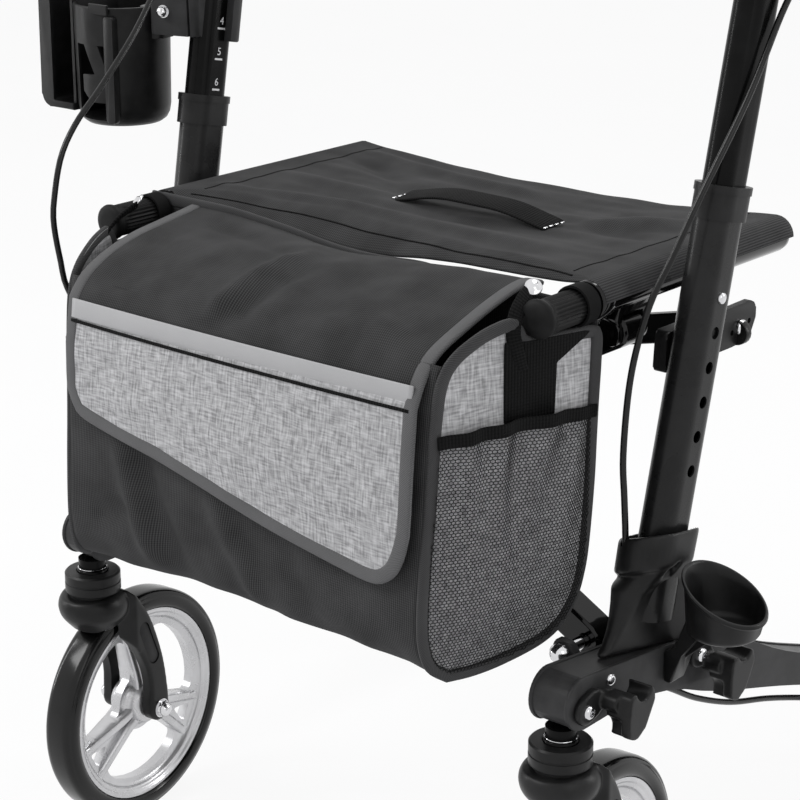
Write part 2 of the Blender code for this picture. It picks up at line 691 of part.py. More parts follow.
def tyre_mesh(x):
    """A tyre about an axle along X, with a flat band of tread and rounded shoulders."""
    half, tread = TYRE_WIDTH / 2, TREAD_WIDTH / 2
    radius = WHEEL_RADIUS / math.cos(math.pi / WHEEL_STEPS)
    bead = RIM_RADIUS + GAP * 1.5
    outline = [
        (radius, -tread), (radius, tread), (radius - 0.003, half - 0.0035), (radius - 0.0085, half),
        (bead, RIM_WIDTH / 2), (bead, -RIM_WIDTH / 2), (radius - 0.0085, -half), (radius - 0.003, -half + 0.0035),
    ]
    return turned(outline, "X", (x, 0, 0), WHEEL_STEPS)


def make_wheels(caster_parents, side_parents):
    for name, parents, x, y in (("caster", caster_parents, 0.0, CASTER_TRAIL), ("rear", side_parents, REAR_WHEEL_X, REAR_AXLE_Y)):
        rim, tyre = rim_mesh(0), tyre_mesh(0)
        for side, parent in parents.items():
            for kind, mesh, look in (("rim", rim, "silver_rim"), ("tyre", tyre, "tyre_rubber")):
                made = piece(f"{name}_{kind}_{side}", mesh, parent, look)
                made.location = (x, y, WHEEL_RADIUS)


def fork_outline():
    """Side view of the fork: the crown under the cap and the legs swept back to the axle."""
    front = [(-0.0200, FORK_TOP), (-0.0262, 0.2190), (-0.0268, 0.2060), (-0.0225, 0.1880), (-0.0100, 0.1620), (0.0110, 0.1360)]
    boss = []
    for i in range(9):
        angle = math.radians(165 + 225 * i / 8)
        boss.append((CASTER_TRAIL + 0.017 * math.cos(angle), WHEEL_RADIUS + 0.017 * math.sin(angle)))
    rear = [(0.0620, 0.1350), (0.0570, 0.1620), (0.0480, 0.1880), (0.0360, 0.2100), (0.0240, FORK_TOP)]
    return front + boss + rear


def make_casters(side_parents, caster_parents):
    stem = [
        (0, 0.205), (STEM_PIN_RADIUS, 0.205), (STEM_PIN_RADIUS, CAP_TOP + GAP), (0.009, CAP_TOP + GAP), (0.009, 0.2405),
        (0.013, 0.2405), (0.013, 0.2476), (STEM_RADIUS, 0.2476), (STEM_RADIUS, 0.2745), (0, 0.2745),
    ]
    pair("caster_stem", turned(stem, "Z", (BEAM_X, 0, 0), 16), side_parents, "chrome")

    body = prism(fork_outline(), -FORK_HALF_WIDTH, FORK_HALF_WIDTH, bevel=0.006)
    cap = turned([(0, 0.222), (CAP_RADIUS, 0.222), (CAP_RADIUS, CAP_TOP - 0.0015), (CAP_RADIUS - 0.002, CAP_TOP), (0, CAP_TOP)], "Z", steps=24)
    slot = rod(FORK_SLOT_RADIUS, -FORK_SLOT_HALF, FORK_SLOT_HALF, "X", (CASTER_TRAIL, WHEEL_RADIUS), 32)
    pin_bore = rod(STEM_PIN_RADIUS + PIVOT_GAP, 0.205 - GAP, 0.25, "Z")
    axle_bore = rod(AXLE_RADIUS + GAP, -0.05, 0.05, "X", (CASTER_TRAIL, WHEEL_RADIUS), 12)
    fork = combined(body, join=[cap], cut=[slot, pin_bore, axle_bore])
    pair("caster_fork", fork, caster_parents, "black_plastic")

    end = FORK_HALF_WIDTH + GAP
    axle = [
        (0, -end - 0.008), (0.005, -end - 0.007), (0.0075, -end - 0.004), (0.0075, -end), (AXLE_RADIUS, -end),
        (AXLE_RADIUS, end), (0.0075, end), (0.0075, end + 0.004), (0.005, end + 0.007), (0, end + 0.008),
    ]
    pair("caster_axle", turned(axle, "X", (0, CASTER_TRAIL, WHEEL_RADIUS), 12), caster_parents, "chrome")


def rear_bracket_outline():
    """Side view of the rear bracket round the beam's end and the axle."""
    rim = 0.0045
    front = [(0.392, beam_bottom(0.392) - rim), (0.390, beam_top(0.390) + rim)]
    top = [(0.420, beam_top(0.420) + rim), (0.470, beam_top(0.470) + rim)]
    boss = []
    for i in range(7):
        angle = math.radians(70 - 180 * i / 6)
        boss.append((REAR_AXLE_Y + 0.020 * math.cos(angle), WHEEL_RADIUS + 0.020 * math.sin(angle)))
    under = [(0.475, beam_bottom(0.475) - rim)]
    return front + top + boss + under


def make_rear_bracket(parents):
    body = prism(rear_bracket_outline(), BEAM_X - BRACKET_HALF, BEAM_X + BRACKET_HALF, bevel=0.002, rounds=1)
    outer = BEAM_X + CHEEK_X
    y, z = BRAKE_PIVOT
    cheek_outline = rounded([(0.388, 0.140), (0.388, 0.176), (0.402, 0.180), (0.422, 0.170), (0.424, 0.152), (0.408, 0.140)], 0.005)
    cheek = prism(cheek_outline, outer - CHEEK_THICK, outer)
    wall_outline = [(0.388, 0.140), (0.388, 0.176), (0.3935, 0.176), (0.3935, 0.140)]
    wall = prism(wall_outline, BEAM_X + BRACKET_HALF - 0.003, outer)
    pin = rod(BRAKE_PIN_RADIUS, BEAM_X + BRACKET_HALF - 0.003, outer - 0.001, "X", (y, z), 12)
    front, rear = 0.34, BEAM_END_Y + GAP
    pocket = [(front, beam_bottom(front) - GAP), (rear, beam_bottom(rear) - GAP), (rear, beam_top(rear) + GAP), (front, beam_top(front) + GAP)]
    half = BEAM_THICK / 2 + GAP
    cuts = [
        prism(pocket, BEAM_X - half, BEAM_X + half),
        rod(REAR_AXLE_RADIUS + GAP, 0.20, 0.28, "X", (REAR_AXLE_Y, WHEEL_RADIUS), 12),
    ]
    mesh = combined(combined(body, join=[wall]), join=[cheek, pin], cut=cuts)
    pair("rear_bracket", mesh, parents, "black_plastic")


def make_rear_axle(parents):
    inner = BEAM_X - BRACKET_HALF - GAP
    outer = REAR_WHEEL_X + HUB_WIDTH / 2 + 0.0005
    axle = [
        (0, inner - 0.006), (0.0075, inner - 0.005), (0.0075, inner), (REAR_AXLE_RADIUS, inner),
        (REAR_AXLE_RADIUS, outer), (0.009, outer), (0.009, outer + 0.004), (0.006, outer + 0.007), (0, outer + 0.0075),
    ]
    pair("rear_axle", turned(axle, "X", (0, REAR_AXLE_Y, WHEEL_RADIUS), 12), parents, "chrome")


def make_brake_arm(parents):
    """The arm that presses its shoe on the tyre, with the tail that the cable pulls."""
    y, z = BRAKE_PIVOT
    face = WHEEL_RADIUS + SHOE_CLEARANCE
    shoe = []
    for radius, angles in ((face, (126, 131, 136, 140)), (face + 0.007, (140, 136, 131, 126))):
        for angle in angles:
            shoe.append((REAR_AXLE_Y + radius * math.cos(math.radians(angle)), WHEEL_RADIUS + radius * math.sin(math.radians(angle))))
    low, high = BEAM_X + BRACKET_HALF + 0.001, BEAM_X + CHEEK_X - CHEEK_THICK - 0.0007
    shoe_middle = Vector(shoe[1]).lerp(Vector(shoe[6]), 0.7)
    arm = prism(bar_outline((y, z), tuple(shoe_middle), 0.0065), low, high)
    tail = prism(bar_outline((y, z), (y, z - 0.012), 0.005), low + 0.004, high - 0.004)
    hole = rod(BRAKE_PIN_RADIUS + PIVOT_GAP, low - 0.01, high + 0.01, "X", (y, z), 12)
    mesh = combined(arm, join=[prism(shoe, low, high), tail], cut=[hole])
    pair("brake_arm", mesh, parents, "black_plastic", (BEAM_X, y, z))


# Handles


def make_handle_housing(parents):
    """The plastic elbow on top of the upright, with the lever's slot and the cable's gland."""
    frame = upright_matrix()
    length, width = upper_size()
    sleeve = moved(prism(stadium(length + 0.008, width + 0.008, 6), 0.376, 0.420, "Z"), frame)
    corners = [(0.1945, 0.906), (0.193, 0.940), (0.212, 0.952), (0.262, 0.950), (0.262, 0.913), (0.256, 0.893), (0.238, 0.893), (0.234, 0.900)]
    outline = rounded(corners, 0.008, 2)
    block = prism(outline, HANDLE_X - 0.015, HANDLE_X + 0.015, bevel=0.004, rounds=1)
    spigot = rod(0.0105, GRIP_START - 0.01, GRIP_START + GRIP_LENGTH - 0.010, "Y", (HANDLE_X, GRIP_Z), 14)
    gland = prism(rounded([(HANDLE_X + 0.010, 0.230), (HANDLE_X + 0.025, 0.230), (HANDLE_X + 0.025, 0.240), (HANDLE_X + 0.010, 0.240)], 0.002), 0.900, 0.914, "Z")
    slot_outline = [(0.2365, 0.86), (0.2365, 0.9145), (0.30, 0.9145), (0.30, 0.86)]
    cuts = [
        moved(prism(stadium(length + 2 * GAP, width + 2 * GAP, 8), 0.36, UPPER_TUBE_HIGH + GAP, "Z"), frame),
        prism(slot_outline, HANDLE_X - LEVER_HALF - 0.0005, HANDLE_X + LEVER_HALF + 0.0005),
    ]
    body = combined(block, join=[sleeve, spigot, gland], cut=cuts)
    pin = rod(0.003, HANDLE_X - 0.010, HANDLE_X + 0.010, "X", LEVER_PIVOT, 12)
    pair("handle_housing", combined(body, join=[pin]), parents, "black_plastic")


def make_handle_grip(parents):
    """A hand grip that swells under the palm, closed at its rear end."""
    stations = ((0, 0.0165, 0.0165), (0.010, 0.0165, 0.017), (0.045, 0.0160, 0.0165), (0.085, 0.0180, 0.0160), (0.118, 0.0190, 0.0165), (0.127, 0.0175, 0.0150), (0.130, 0.012, 0.010))
    bore = 0.0105 + GAP
    bore_end = GRIP_LENGTH - 0.010 + GAP
    loops = []
    for along, half_x, half_z in ((bore_end, bore, bore), (0, bore, bore)) + stations:
        y = GRIP_START + GAP + along
        turns = [math.pi * i / 8 for i in range(16)]
        loops.append([(HANDLE_X + half_x * math.cos(a), y, GRIP_Z + half_z * math.sin(a)) for a in turns])
    pair("handle_grip", loft(loops), parents, "grip_rubber")


def make_brake_lever(parents):
    y, z = LEVER_PIVOT
    line = [(y, z), (y + 0.008, z - 0.011), (y + 0.020, z - 0.022), (y + 0.038, z - 0.029), (y + 0.075, z - 0.032), (y + 0.118, z - 0.033), (y + 0.134, z - 0.036)]
    arm = prism(strip(line, 0.0045), HANDLE_X - LEVER_HALF, HANDLE_X + LEVER_HALF, bevel=0.0015, rounds=1)
    boss = rod(0.0078, HANDLE_X - LEVER_HALF, HANDLE_X + LEVER_HALF, "X", (y, z), 16)
    hole = rod(0.003 + PIVOT_GAP, HANDLE_X - 0.02, HANDLE_X + 0.02, "X", (y, z), 12)
    pair("brake_lever", combined(arm, join=[boss], cut=[hole]), parents, "black_plastic", (HANDLE_X, y, z))


# Cables


def cable_end():
    """The stretch inside the foot and the beam and on to the rear brake, the same on both sides."""
    wall = 0.388 - 2 * GAP
    return [
        (0.2365, 0.0738, 0.395), (0.2370, 0.0760, 0.366), (0.2358, 0.0778, 0.345), (0.2342, 0.0790, 0.325),
        (0.2330, 0.0788, 0.306), (0.2330, 0.0790, 0.288),
        (0.2345, 0.0860, 0.268), (0.2370, 0.1010, 0.250), (0.2395, 0.1200, 0.236), (0.2400, 0.1420, 0.223), (0.2400, 0.1750, 0.204),
        (0.2400, 0.2230, 0.183), (0.2400, 0.2780, 0.166), (0.2420, 0.3250, 0.150), (0.2560, 0.3500, 0.1440), (0.2745, 0.3690, 0.1470), (0.2760, wall, 0.1480),
    ]


def left_route():
    """Down the outside of the upright, round its front and into the foot."""
    start = [(0.2825, 0.2350, 0.900 - GAP), (0.2825, 0.2350, 0.884), (0.2830, 0.2310, 0.845), (0.2815, 0.2200, 0.790), (0.2760, 0.2030, 0.745)]
    sweep = [(0.2740, 0.1870, 0.7205), (0.2715, 0.1555, 0.6705), (0.2600, 0.1170, 0.604), (0.2520, 0.0985, 0.565)]
    down = [(0.2445, 0.0870, 0.537), (0.2390, 0.0795, 0.504), (0.2368, 0.0740, 0.471), (0.2360, 0.0715, 0.426)]
    return start + sweep + down + cable_end()[:1]


def right_route():
    """A wider bow forward, in front of the cup, and back behind the bag's corner to the foot."""
    start = [(0.2825, 0.2350, 0.900 - GAP), (0.2825, 0.2350, 0.884), (0.2820, 0.2200, 0.845), (0.2800, 0.1930, 0.800), (0.2720, 0.1620, 0.760)]
    bow = [(0.2600, 0.1300, 0.725), (0.2530, 0.1005, 0.693), (0.2470, 0.0720, 0.666), (0.2450, 0.0340, 0.631), (0.2450, 0.0080, 0.608)]
    front = [(0.2450, -0.0090, 0.584), (0.2450, -0.0180, 0.552), (0.2450, -0.0195, 0.532), (0.2450, -0.0145, 0.502), (0.2450, -0.0080, 0.477)]
    down = [(0.2440, 0.0180, 0.4330), (0.2405, 0.0450, 0.4205), (0.2378, 0.0655, 0.4130)]
    return start + bow + front + down + cable_end()[:1]


def smooth_points(route, count):
    """Evenly spaced points on a smooth curve through a route's own points."""
    route = [Vector(point) for point in route]
    ends = [route[0] * 2 - route[1]] + route + [route[-1] * 2 - route[-2]]
    fine = []
    for i in range(1, len(ends) - 2):
        before, here, after, later = ends[i - 1 : i + 3]
        for k in range(16):
            t = k / 16
            bend = (here * 2 + (after - before) * t + (before * 2 - here * 5 + after * 4 - later) * t**2)
            fine.append((bend + (here * 3 - before - after * 3 + later) * t**3) / 2)
    fine.append(route[-1])
    lengths = [0.0]
    for a, b in zip(fine, fine[1:]):
        lengths.append(lengths[-1] + (b - a).length)
    points, k = [], 0
    for i in range(count):
        target = lengths[-1] * i / (count - 1)
        while k < len(fine) - 2 and lengths[k + 1] < target:
            k += 1
        share = (target - lengths[k]) / (lengths[k + 1] - lengths[k])
        points.append(fine[k].lerp(fine[k + 1], min(max(share, 0), 1)))
    return points


def tube_curve(name, points, radius):
    """A round tube along points, as a curve object."""
    curve = bpy.data.curves.new(name, "CURVE")
    curve.dimensions = "3D"
    curve.bevel_depth = radius
    curve.bevel_resolution = 2
    curve.use_fill_caps = True
    spline = curve.splines.new("POLY")
    spline.points.add(len(points) - 1)
    for target, point in zip(spline.points, points):
        target.co = (*point, 1)
    made = bpy.data.objects.new(name, curve)
    bpy.context.scene.collection.objects.link(made)
    return made


def cable_channel():
    """The cutter for the cable's way through the foot and the beam."""
    helper = tube_curve("channel", smooth_points(cable_end(), CABLE_END_POINTS), CHANNEL_RADIUS)
    graph = bpy.context.evaluated_depsgraph_get()
    mesh = bpy.data.meshes.new_from_object(helper.evaluated_get(graph))
    bpy.data.objects.remove(helper)
    return mesh


def make_cables(root):
    end = smooth_points(cable_end(), CABLE_END_POINTS)
    for side, sign, route in (("left", 1, left_route()), ("right", -1, right_route())):
        points = [Vector((sign * p.x, p.y, p.z)) for p in smooth_points(route, CABLE_POINTS)[:-1] + end]
        cable = tube_curve(f"brake_cable_{side}", points, CABLE_RADIUS)
        cable.parent = root
        cable.data.materials.append(bpy.data.materials["cable_sheath"])


# Soft goods


def bag_loop(z, front, back, front_half, back_half, corner=0.022):
    """One level outline of the bag, wider at its back."""
    corners = [(-front_half, front), (front_half, front), (back_half, back), (-back_half, back)]
    return [(x, y, z) for x, y in rounded(corners, corner, 3)]


def bag_loops(inset, bottom, top):
    """The bag's walls from its rounded bottom to above its rim, drawn in by an inset."""
    front, back = BAG_FRONT + inset, BAG_BACK - inset
    front_half, back_half = BAG_FRONT_HALF - inset, BAG_BACK_HALF - inset
    levels = ((bottom, 0.030), (bottom + 0.007, 0.012), (bottom + 0.024, 0.0), (0.455, 0.0), (0.505, 0.013), (top, 0.015))
    loops = []
    for z, draw in levels:
        loops.append(bag_loop(z, front + min(draw, 0.008), back - min(draw, 0.0), front_half - draw, back_half - draw))
    return loops


def bag_strap(side):
    """The webbing that carries the bag: a loop round the front grip and a tongue to the side panel."""
    inner = RAIL_RADIUS + GAP
    outer = inner + LOOP_THICK
    band = [(inner, LOOP_Y[0]), (outer, LOOP_Y[0]), (outer, LOOP_Y[1]), (inner, LOOP_Y[1])]
    loop = turned(band, "Y", (side * RAIL_X, 0, RAIL_Z), 16)
    low = RAIL_Z - outer
    tongue = [
        (RAIL_X - 0.029, low - 0.014), (RAIL_X - 0.029, low - 0.009),
        (RAIL_X - 0.008, low + 0.0033), (RAIL_X - 0.004, low + 0.0003),
    ]
    return combined(loop, join=[prism([(side * x, z) for x, z in tongue], *LOOP_Y, "Y")])


def make_bag(parent):
    rim_cut = [(-0.20, BAG_RIM_FRONT - 0.049), (0.030, BAG_RIM_BACK), (0.20, BAG_RIM_BACK), (0.20, 0.70), (-0.20, 0.70)]
    body = loft(bag_loops(0, BAG_BOTTOM, 0.560))
    inside = loft(bag_loops(BAG_WALL, BAG_BOTTOM + BAG_WALL, 0.570))
    shell = combined(body, cut=[inside, prism(rim_cut, -0.30, 0.30)])
    mesh = combined(shell, join=[bag_strap(1), bag_strap(-1)])
    piece("bag", mesh, parent, "black_fabric")


def flap_line():
    """Side view of the flap's middle surface, from its hinge forward and down the front."""
    out = BAG_FRONT - 0.0006 - FLAP_THICK / 2
    lift = FLAP_THICK / 2 + 0.0010
    return [
        (0.056, BAG_RIM_BACK + lift), (0.030, BAG_RIM_BACK + lift), (0.000, 0.5335 + lift), (-0.040, 0.5165 + lift),
        (-0.068, 0.5035 + lift), (-0.0775, 0.4985), (out, 0.488), (out, 0.420), (out, 0.340),
    ]


def make_bag_flap(parent):
    sheet = prism(strip(flap_line(), FLAP_THICK / 2), -FLAP_HALF, FLAP_HALF)
    lower = [(-0.20, 0.412), (-0.157, 0.410), (-0.115, 0.399), (-0.032, 0.385), (0.047, 0.367), (0.104, 0.357), (0.138, 0.353), (0.158, 0.362), (0.166, 0.380), (0.20, 0.380), (0.20, 0.30), (-0.20, 0.30)]
    trim = prism(lower, -0.12, -0.05, "Y")
    hinge_line = flap_line()[0]
    origin = (0, hinge_line[0], hinge_line[1] - FLAP_THICK / 2)
    piece("bag_flap", combined(sheet, cut=[trim]), parent, "grey_fabric", origin)


def make_seat_sling(parent):
    """The fabric between the rails, wrapped over both and sagging in the middle."""
    wrap = RAIL_RADIUS + GAP + SLING_THICK / 2
    line = []
    for i in range(6):
        angle = math.radians(-25 + 115 * i / 5)
        line.append((RAIL_X + wrap * math.cos(angle), RAIL_Z + wrap * math.sin(angle)))
    spans = 10
    for i in range(1, spans):
        x = RAIL_X * (1 - 2 * i / spans)
        line.append((x, RAIL_Z + wrap - SLING_SAG * (1 - (x / RAIL_X) ** 2)))
    line += [(-x, z) for x, z in line[5::-1]]
    mesh = prism(strip(line, SLING_THICK / 2), SLING_FRONT, SLING_REAR, "Y")
    piece("seat_sling", mesh, parent, "black_fabric")


# Accessories


def make_cup_holder(parent):
    """The cup, its phone slot and its clamp round the inner tube."""
    x, y, low, high = 0.334, 0.144, 0.575, 0.670
    cup = turned([(0, low), (0.036, low), (0.0395, low + 0.006), (0.040, high), (0, high)], "Z", (x, y, 0), 28)
    inside = turned([(0, low + 0.004), (0.0345, low + 0.004), (0.0373, high - 0.002), (0.0373, high + 0.02), (0, high + 0.02)], "Z", (x, y, 0), 28)
    slot_outer = prism(rounded([(x + 0.034, 0.112), (x + 0.074, 0.112), (x + 0.074, 0.176), (x + 0.034, 0.176)], 0.006), low + 0.012, high + 0.012, "Z")
    slot_inner = prism(rounded([(x + 0.044, 0.116), (x + 0.0705, 0.116), (x + 0.0705, 0.172), (x + 0.044, 0.172)], 0.004), low + 0.016, high + 0.03, "Z")
    window = prism(rounded([(-0.014, 0.604), (0.014, 0.604), (0.016, 0.650), (-0.016, 0.650)], 0.004), -0.060, -0.025, "Y")
    facing = Matrix.Translation((x, y, 0)) @ Matrix.Rotation(math.radians(-35), 4, "Z")
    window = moved(window, facing)
    length, width = upper_size()
    frame = upright_matrix()
    clamp = moved(prism(stadium(length + 0.012, width + 0.012, 8), 0.155, 0.193, "Z", bevel=0.002, rounds=1), frame)
    bore = moved(prism(stadium(length + 2 * GAP, width + 2 * GAP, 8), 0.12, 0.22, "Z"), frame)
    arm = prism(rounded([(0.262, 0.150), (0.312, 0.136), (0.312, 0.162), (0.262, 0.182)], 0.004), 0.650, 0.667, "Z")
    body = combined(cup, join=[slot_outer, arm, clamp], cut=[inside, slot_inner, window, bore])
    piece("cup_holder", body, parent, "black_plastic")


def make_cane_cup(parent):
    """The flared cup with its slanting rim, on an arm from the beam's outer face."""
    x, y = 0.301, 0.116

    def ring(radius, low, high, shift=0.0):
        loop = []
        for i in range(24):
            angle = 2 * math.pi * i / 24
            share = (1 + math.cos(angle - math.radians(215))) / 2
            loop.append((x + shift + radius * math.cos(angle), y + radius * math.sin(angle), low + (high - low) * share))
        return loop

    outer = loft([ring(0.019, 0.284, 0.284), ring(0.0225, 0.288, 0.288), ring(0.0240, 0.296, 0.312), ring(0.0275, 0.300, 0.350), ring(0.0300, 0.303, 0.364), ring(0.0300, 0.306, 0.367)])
    inner = loft([ring(0.0195, 0.290, 0.290), ring(0.0215, 0.298, 0.314), ring(0.0250, 0.302, 0.352), ring(0.0275, 0.307, 0.370), ring(0.0300, 0.330, 0.400)])
    face = BEAM_X + BEAM_THICK / 2 + GAP
    arm_line = [(face, 0.252), (face, 0.271), (0.272, 0.276), (0.288, 0.291), (0.300, 0.291), (0.300, 0.285), (0.286, 0.279), (face + 0.006, 0.252)]
    arm = prism(rounded(arm_line, 0.002, 2), 0.104, 0.128, "Y")
    piece("cane_cup", combined(outer, join=[arm], cut=[inner]), parent, "black_plastic")


def make_peg(name, parent, y, z, arm_y, head):
    """A black peg: a plate with its screw on the beam, an arm and a hollow head."""
    face = BEAM_X + BEAM_THICK / 2 + GAP
    plate = prism(bar_outline((y, z), (y + arm_y, z + 0.002), 0.0105), face, face + 0.007, bevel=0.0015, rounds=1)
    screw = turned([(0, 0), (0.0055, 0), (0.0055, 0.0015), (0.003, 0.0028), (0, 0.0028)], "X", (face + 0.0065, y, z), 12)
    arm = prism(bar_outline((y + arm_y * 0.75, z + 0.001), (y + arm_y, z + 0.002), 0.008), face + 0.003, face + 0.022)
    centre = (y + head[0], z + head[1])
    saddle = prism(rounded([(centre[0] - 0.018, centre[1] + 0.012), (centre[0] + 0.018, centre[1] + 0.015), (centre[0] + 0.020, centre[1] - 0.006), (centre[0] + 0.004, centre[1] - 0.024), (centre[0] - 0.012, centre[1] - 0.018)], 0.006), face + 0.018, face + 0.046, bevel=0.003, rounds=1)
    hollow = rod(0.0105, face + 0.024, face + 0.060, "X", (centre[0] + 0.002, centre[1] + 0.012), 16)
    piece(name, combined(plate, join=[screw, arm, saddle], cut=[hollow]), parent, "black_plastic")


# Assembly


def centre_model(root):
    """Moves the root so that the origin lies under the middle of the whole model."""
    bpy.context.view_layer.update()
    graph = bpy.context.evaluated_depsgraph_get()
    lows, highs = [], []
    for made in bpy.data.objects:
        if made.type == "EMPTY":
            continue
        shape = made.evaluated_get(graph)
        points = [shape.matrix_world @ vertex.co for vertex in shape.to_mesh().vertices]
        lows.append([min(point[i] for point in points) for i in range(3)])
        highs.append([max(point[i] for point in points) for i in range(3)])
        shape.to_mesh_clear()
    middle = [(min(low[i] for low in lows) + max(high[i] for high in highs)) / 2 for i in range(2)]
    root.location = (-middle[0], -middle[1], 0)
    print("origin moved by", [round(value, 6) for value in root.location])


def main():
    for old in list(bpy.data.objects):
        bpy.data.objects.remove(old)
    make_materials()
    root = empty("rollator")
    sides = {"left": empty("side_frame_left", root), "right": empty("side_frame_right", root)}
    sides["right"].scale.x = -1
    casters = {}
    for side, parent in sides.items():
        casters[side] = empty(f"caster_{side}", parent, (BEAM_X, 0, 0))
        casters[side].rotation_euler.z = CASTER_TURN if side == "left" else -CASTER_TURN
    channel = cable_channel()
    make_side_beam(sides, channel)
    make_foot_bracket(sides, channel)
    make_lower_upright(sides)
    make_upright_collar(sides)
    make_upper_upright(sides)
    make_height_button(sides)
    make_frame_bracket(sides)
    make_fold_link(sides)
    make_pivot_rod(sides)
    make_cross_bar("cross_bar_b", 1, BAR_B_Y, root)
    make_cross_bar("cross_bar_a", -1, BAR_A_Y, root)
    make_cross_bolt(root)
    make_seat_rail("seat_rail_left", sides["left"], BAR_A_Y)
    make_seat_rail("seat_rail_right", sides["right"], BAR_B_Y)
    make_front_grip(sides)
    make_casters(sides, casters)
    make_wheels(casters, sides)
    make_rear_bracket(sides)
    make_rear_axle(sides)
    make_brake_arm(sides)
    make_handle_housing(sides)
    make_handle_grip(sides)
    make_brake_lever(sides)
    make_cables(root)
    make_seat_sling(root)
    make_bag(root)
    make_bag_flap(root)
    make_cup_holder(sides["right"])
    make_cane_cup(sides["left"])
    make_peg("front_peg", sides["left"], -0.0005, 0.2646, 0.016, (0.020, -0.002))
    make_peg("rear_peg", sides["left"], 0.1407, 0.2590, 0.012, (0.012, -0.010))
    centre_model(root)


main()
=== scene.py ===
"""The looks of a folding four-wheel rollator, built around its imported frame.

Lengths are in metres, +Z is up, -Y the front and +X the user's left. Pieces are modelled in the model's
own coordinates, X from the plane of symmetry and Y from the casters' axis, and then moved by ORIGIN
into the frame. What both sides have is modelled for the left and mirrored for the right.
"""

import json
import math

import bmesh
import bpy
from mathutils import Matrix, Vector, noise


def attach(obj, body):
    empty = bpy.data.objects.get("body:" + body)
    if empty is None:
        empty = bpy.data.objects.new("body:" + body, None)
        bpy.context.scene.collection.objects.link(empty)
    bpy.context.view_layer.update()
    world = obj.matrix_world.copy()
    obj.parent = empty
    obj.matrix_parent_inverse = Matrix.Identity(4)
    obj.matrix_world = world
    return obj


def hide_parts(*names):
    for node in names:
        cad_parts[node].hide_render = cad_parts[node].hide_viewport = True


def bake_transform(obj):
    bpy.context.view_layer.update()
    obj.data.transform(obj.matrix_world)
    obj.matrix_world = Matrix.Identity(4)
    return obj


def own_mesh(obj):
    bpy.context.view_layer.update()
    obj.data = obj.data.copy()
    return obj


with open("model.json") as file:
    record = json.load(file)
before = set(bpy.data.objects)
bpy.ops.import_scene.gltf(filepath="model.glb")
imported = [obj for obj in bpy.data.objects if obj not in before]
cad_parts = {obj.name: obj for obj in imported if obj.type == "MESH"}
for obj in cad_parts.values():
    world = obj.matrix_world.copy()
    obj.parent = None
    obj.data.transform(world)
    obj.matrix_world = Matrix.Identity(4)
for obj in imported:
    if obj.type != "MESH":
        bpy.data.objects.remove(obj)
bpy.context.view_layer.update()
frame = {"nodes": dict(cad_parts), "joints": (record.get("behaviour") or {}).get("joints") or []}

SWIVELS = [Vector(joint["pos_m"]) for joint in frame["joints"] if joint["name"].startswith("caster_swivel")]
ORIGIN = Vector((SWIVELS[0].x + SWIVELS[1].x, SWIVELS[0].y + SWIVELS[1].y, 0)) / 2
SIDES = ("left", "right")
GAP = 0.0003

# Wheels and casters
WHEEL_RADIUS = 0.100
SPOKES = 3
RIB_HALF = 0.0044
RIB_AT_HUB = 0.0118
RIB_DROP = 0.0052
WINDOW_LOW = 0.0255
WINDOW_HIGH = 0.0690
AXLE_RADIUS = 0.0044
CASTER_TRAIL = 0.0467
CASTER_TURN = math.radians(4.8)
FORK_HALF = 0.028
CAP_RADIUS = 0.023
CAP_TOP = 0.2365
REAR_AXLE = (0.278, 0.515, 0.100)

# Side beam
BEAM_X = 0.240
BEAM_HALF = 0.017
FLANGE = 0.0035
KNUCKLE = (0.003, 0.268)
KNUCKLE_RADIUS = 0.020
BEAM_SLOPE = -0.1054

# Upright: its axis at UPRIGHT, its splay and its lean
UPRIGHT = Vector((0.2505, 0.1372, 0.500))
SPLAY = 0.0285
LEAN = 0.1987
TUBE_LENGTH = 0.040
TUBE_WIDTH = 0.028
INNER_LENGTH = 0.0364
INNER_WIDTH = 0.0244
TOP_HOLE = 0.0316
HOLE_PITCH = 0.025
HOLES = 6
COLLAR = (0.0855, 0.1098)
UPPER_TUBE = (0.0016, 0.413)
LOWER_TUBE = (-0.205, 0.104)
SCALE_NUMBERS = 6

# Rails and grips
RAIL_X = 0.208
RAIL_Z = 0.535
RAIL_RADIUS = 0.0125
RAIL_FRONT = 0.062

# Cables
CABLE_RADIUS = 0.0024
CHANNEL_RADIUS = 0.0033

# Camera, as the photograph was taken, in the frame's own coordinates
CAMERA_AT = (1.1409, -1.4609, 0.9745)
CAMERA_DOWN = 0.3206
CAMERA_TURN = 0.7017
CAMERA_LENS = 104.61


# Meshes


def mesh_of(bm):
    """Turns a bmesh into a mesh whose faces point out."""
    bmesh.ops.recalc_face_normals(bm, faces=bm.faces)
    mesh = bpy.data.meshes.new("shape")
    bm.to_mesh(mesh)
    bm.free()
    return mesh


def on_axis(axis, a, b, along):
    """The 3-D point of outline coordinates a, b and a distance along X, Y or Z."""
    return {"X": (along, a, b), "Y": (a, along, b), "Z": (a, b, along)}[axis]


def prism(outline, low, high, axis="X", bevel=0.0, rounds=3):
    """An outline pushed from low to high along an axis, with both its rims rounded."""
    bm = bmesh.new()
    ends = [[bm.verts.new(on_axis(axis, a, b, along)) for a, b in outline] for along in (low, high)]
    caps = [bm.faces.new(end) for end in ends]
    for i in range(len(outline)):
        j = (i + 1) % len(outline)
        bm.faces.new((ends[0][i], ends[0][j], ends[1][j], ends[1][i]))
    if bevel:
        rims = [edge for cap in caps for edge in cap.edges]
        bmesh.ops.bevel(bm, geom=rims, offset=bevel, segments=rounds, affect="EDGES", profile=0.5)
    return mesh_of(bm)


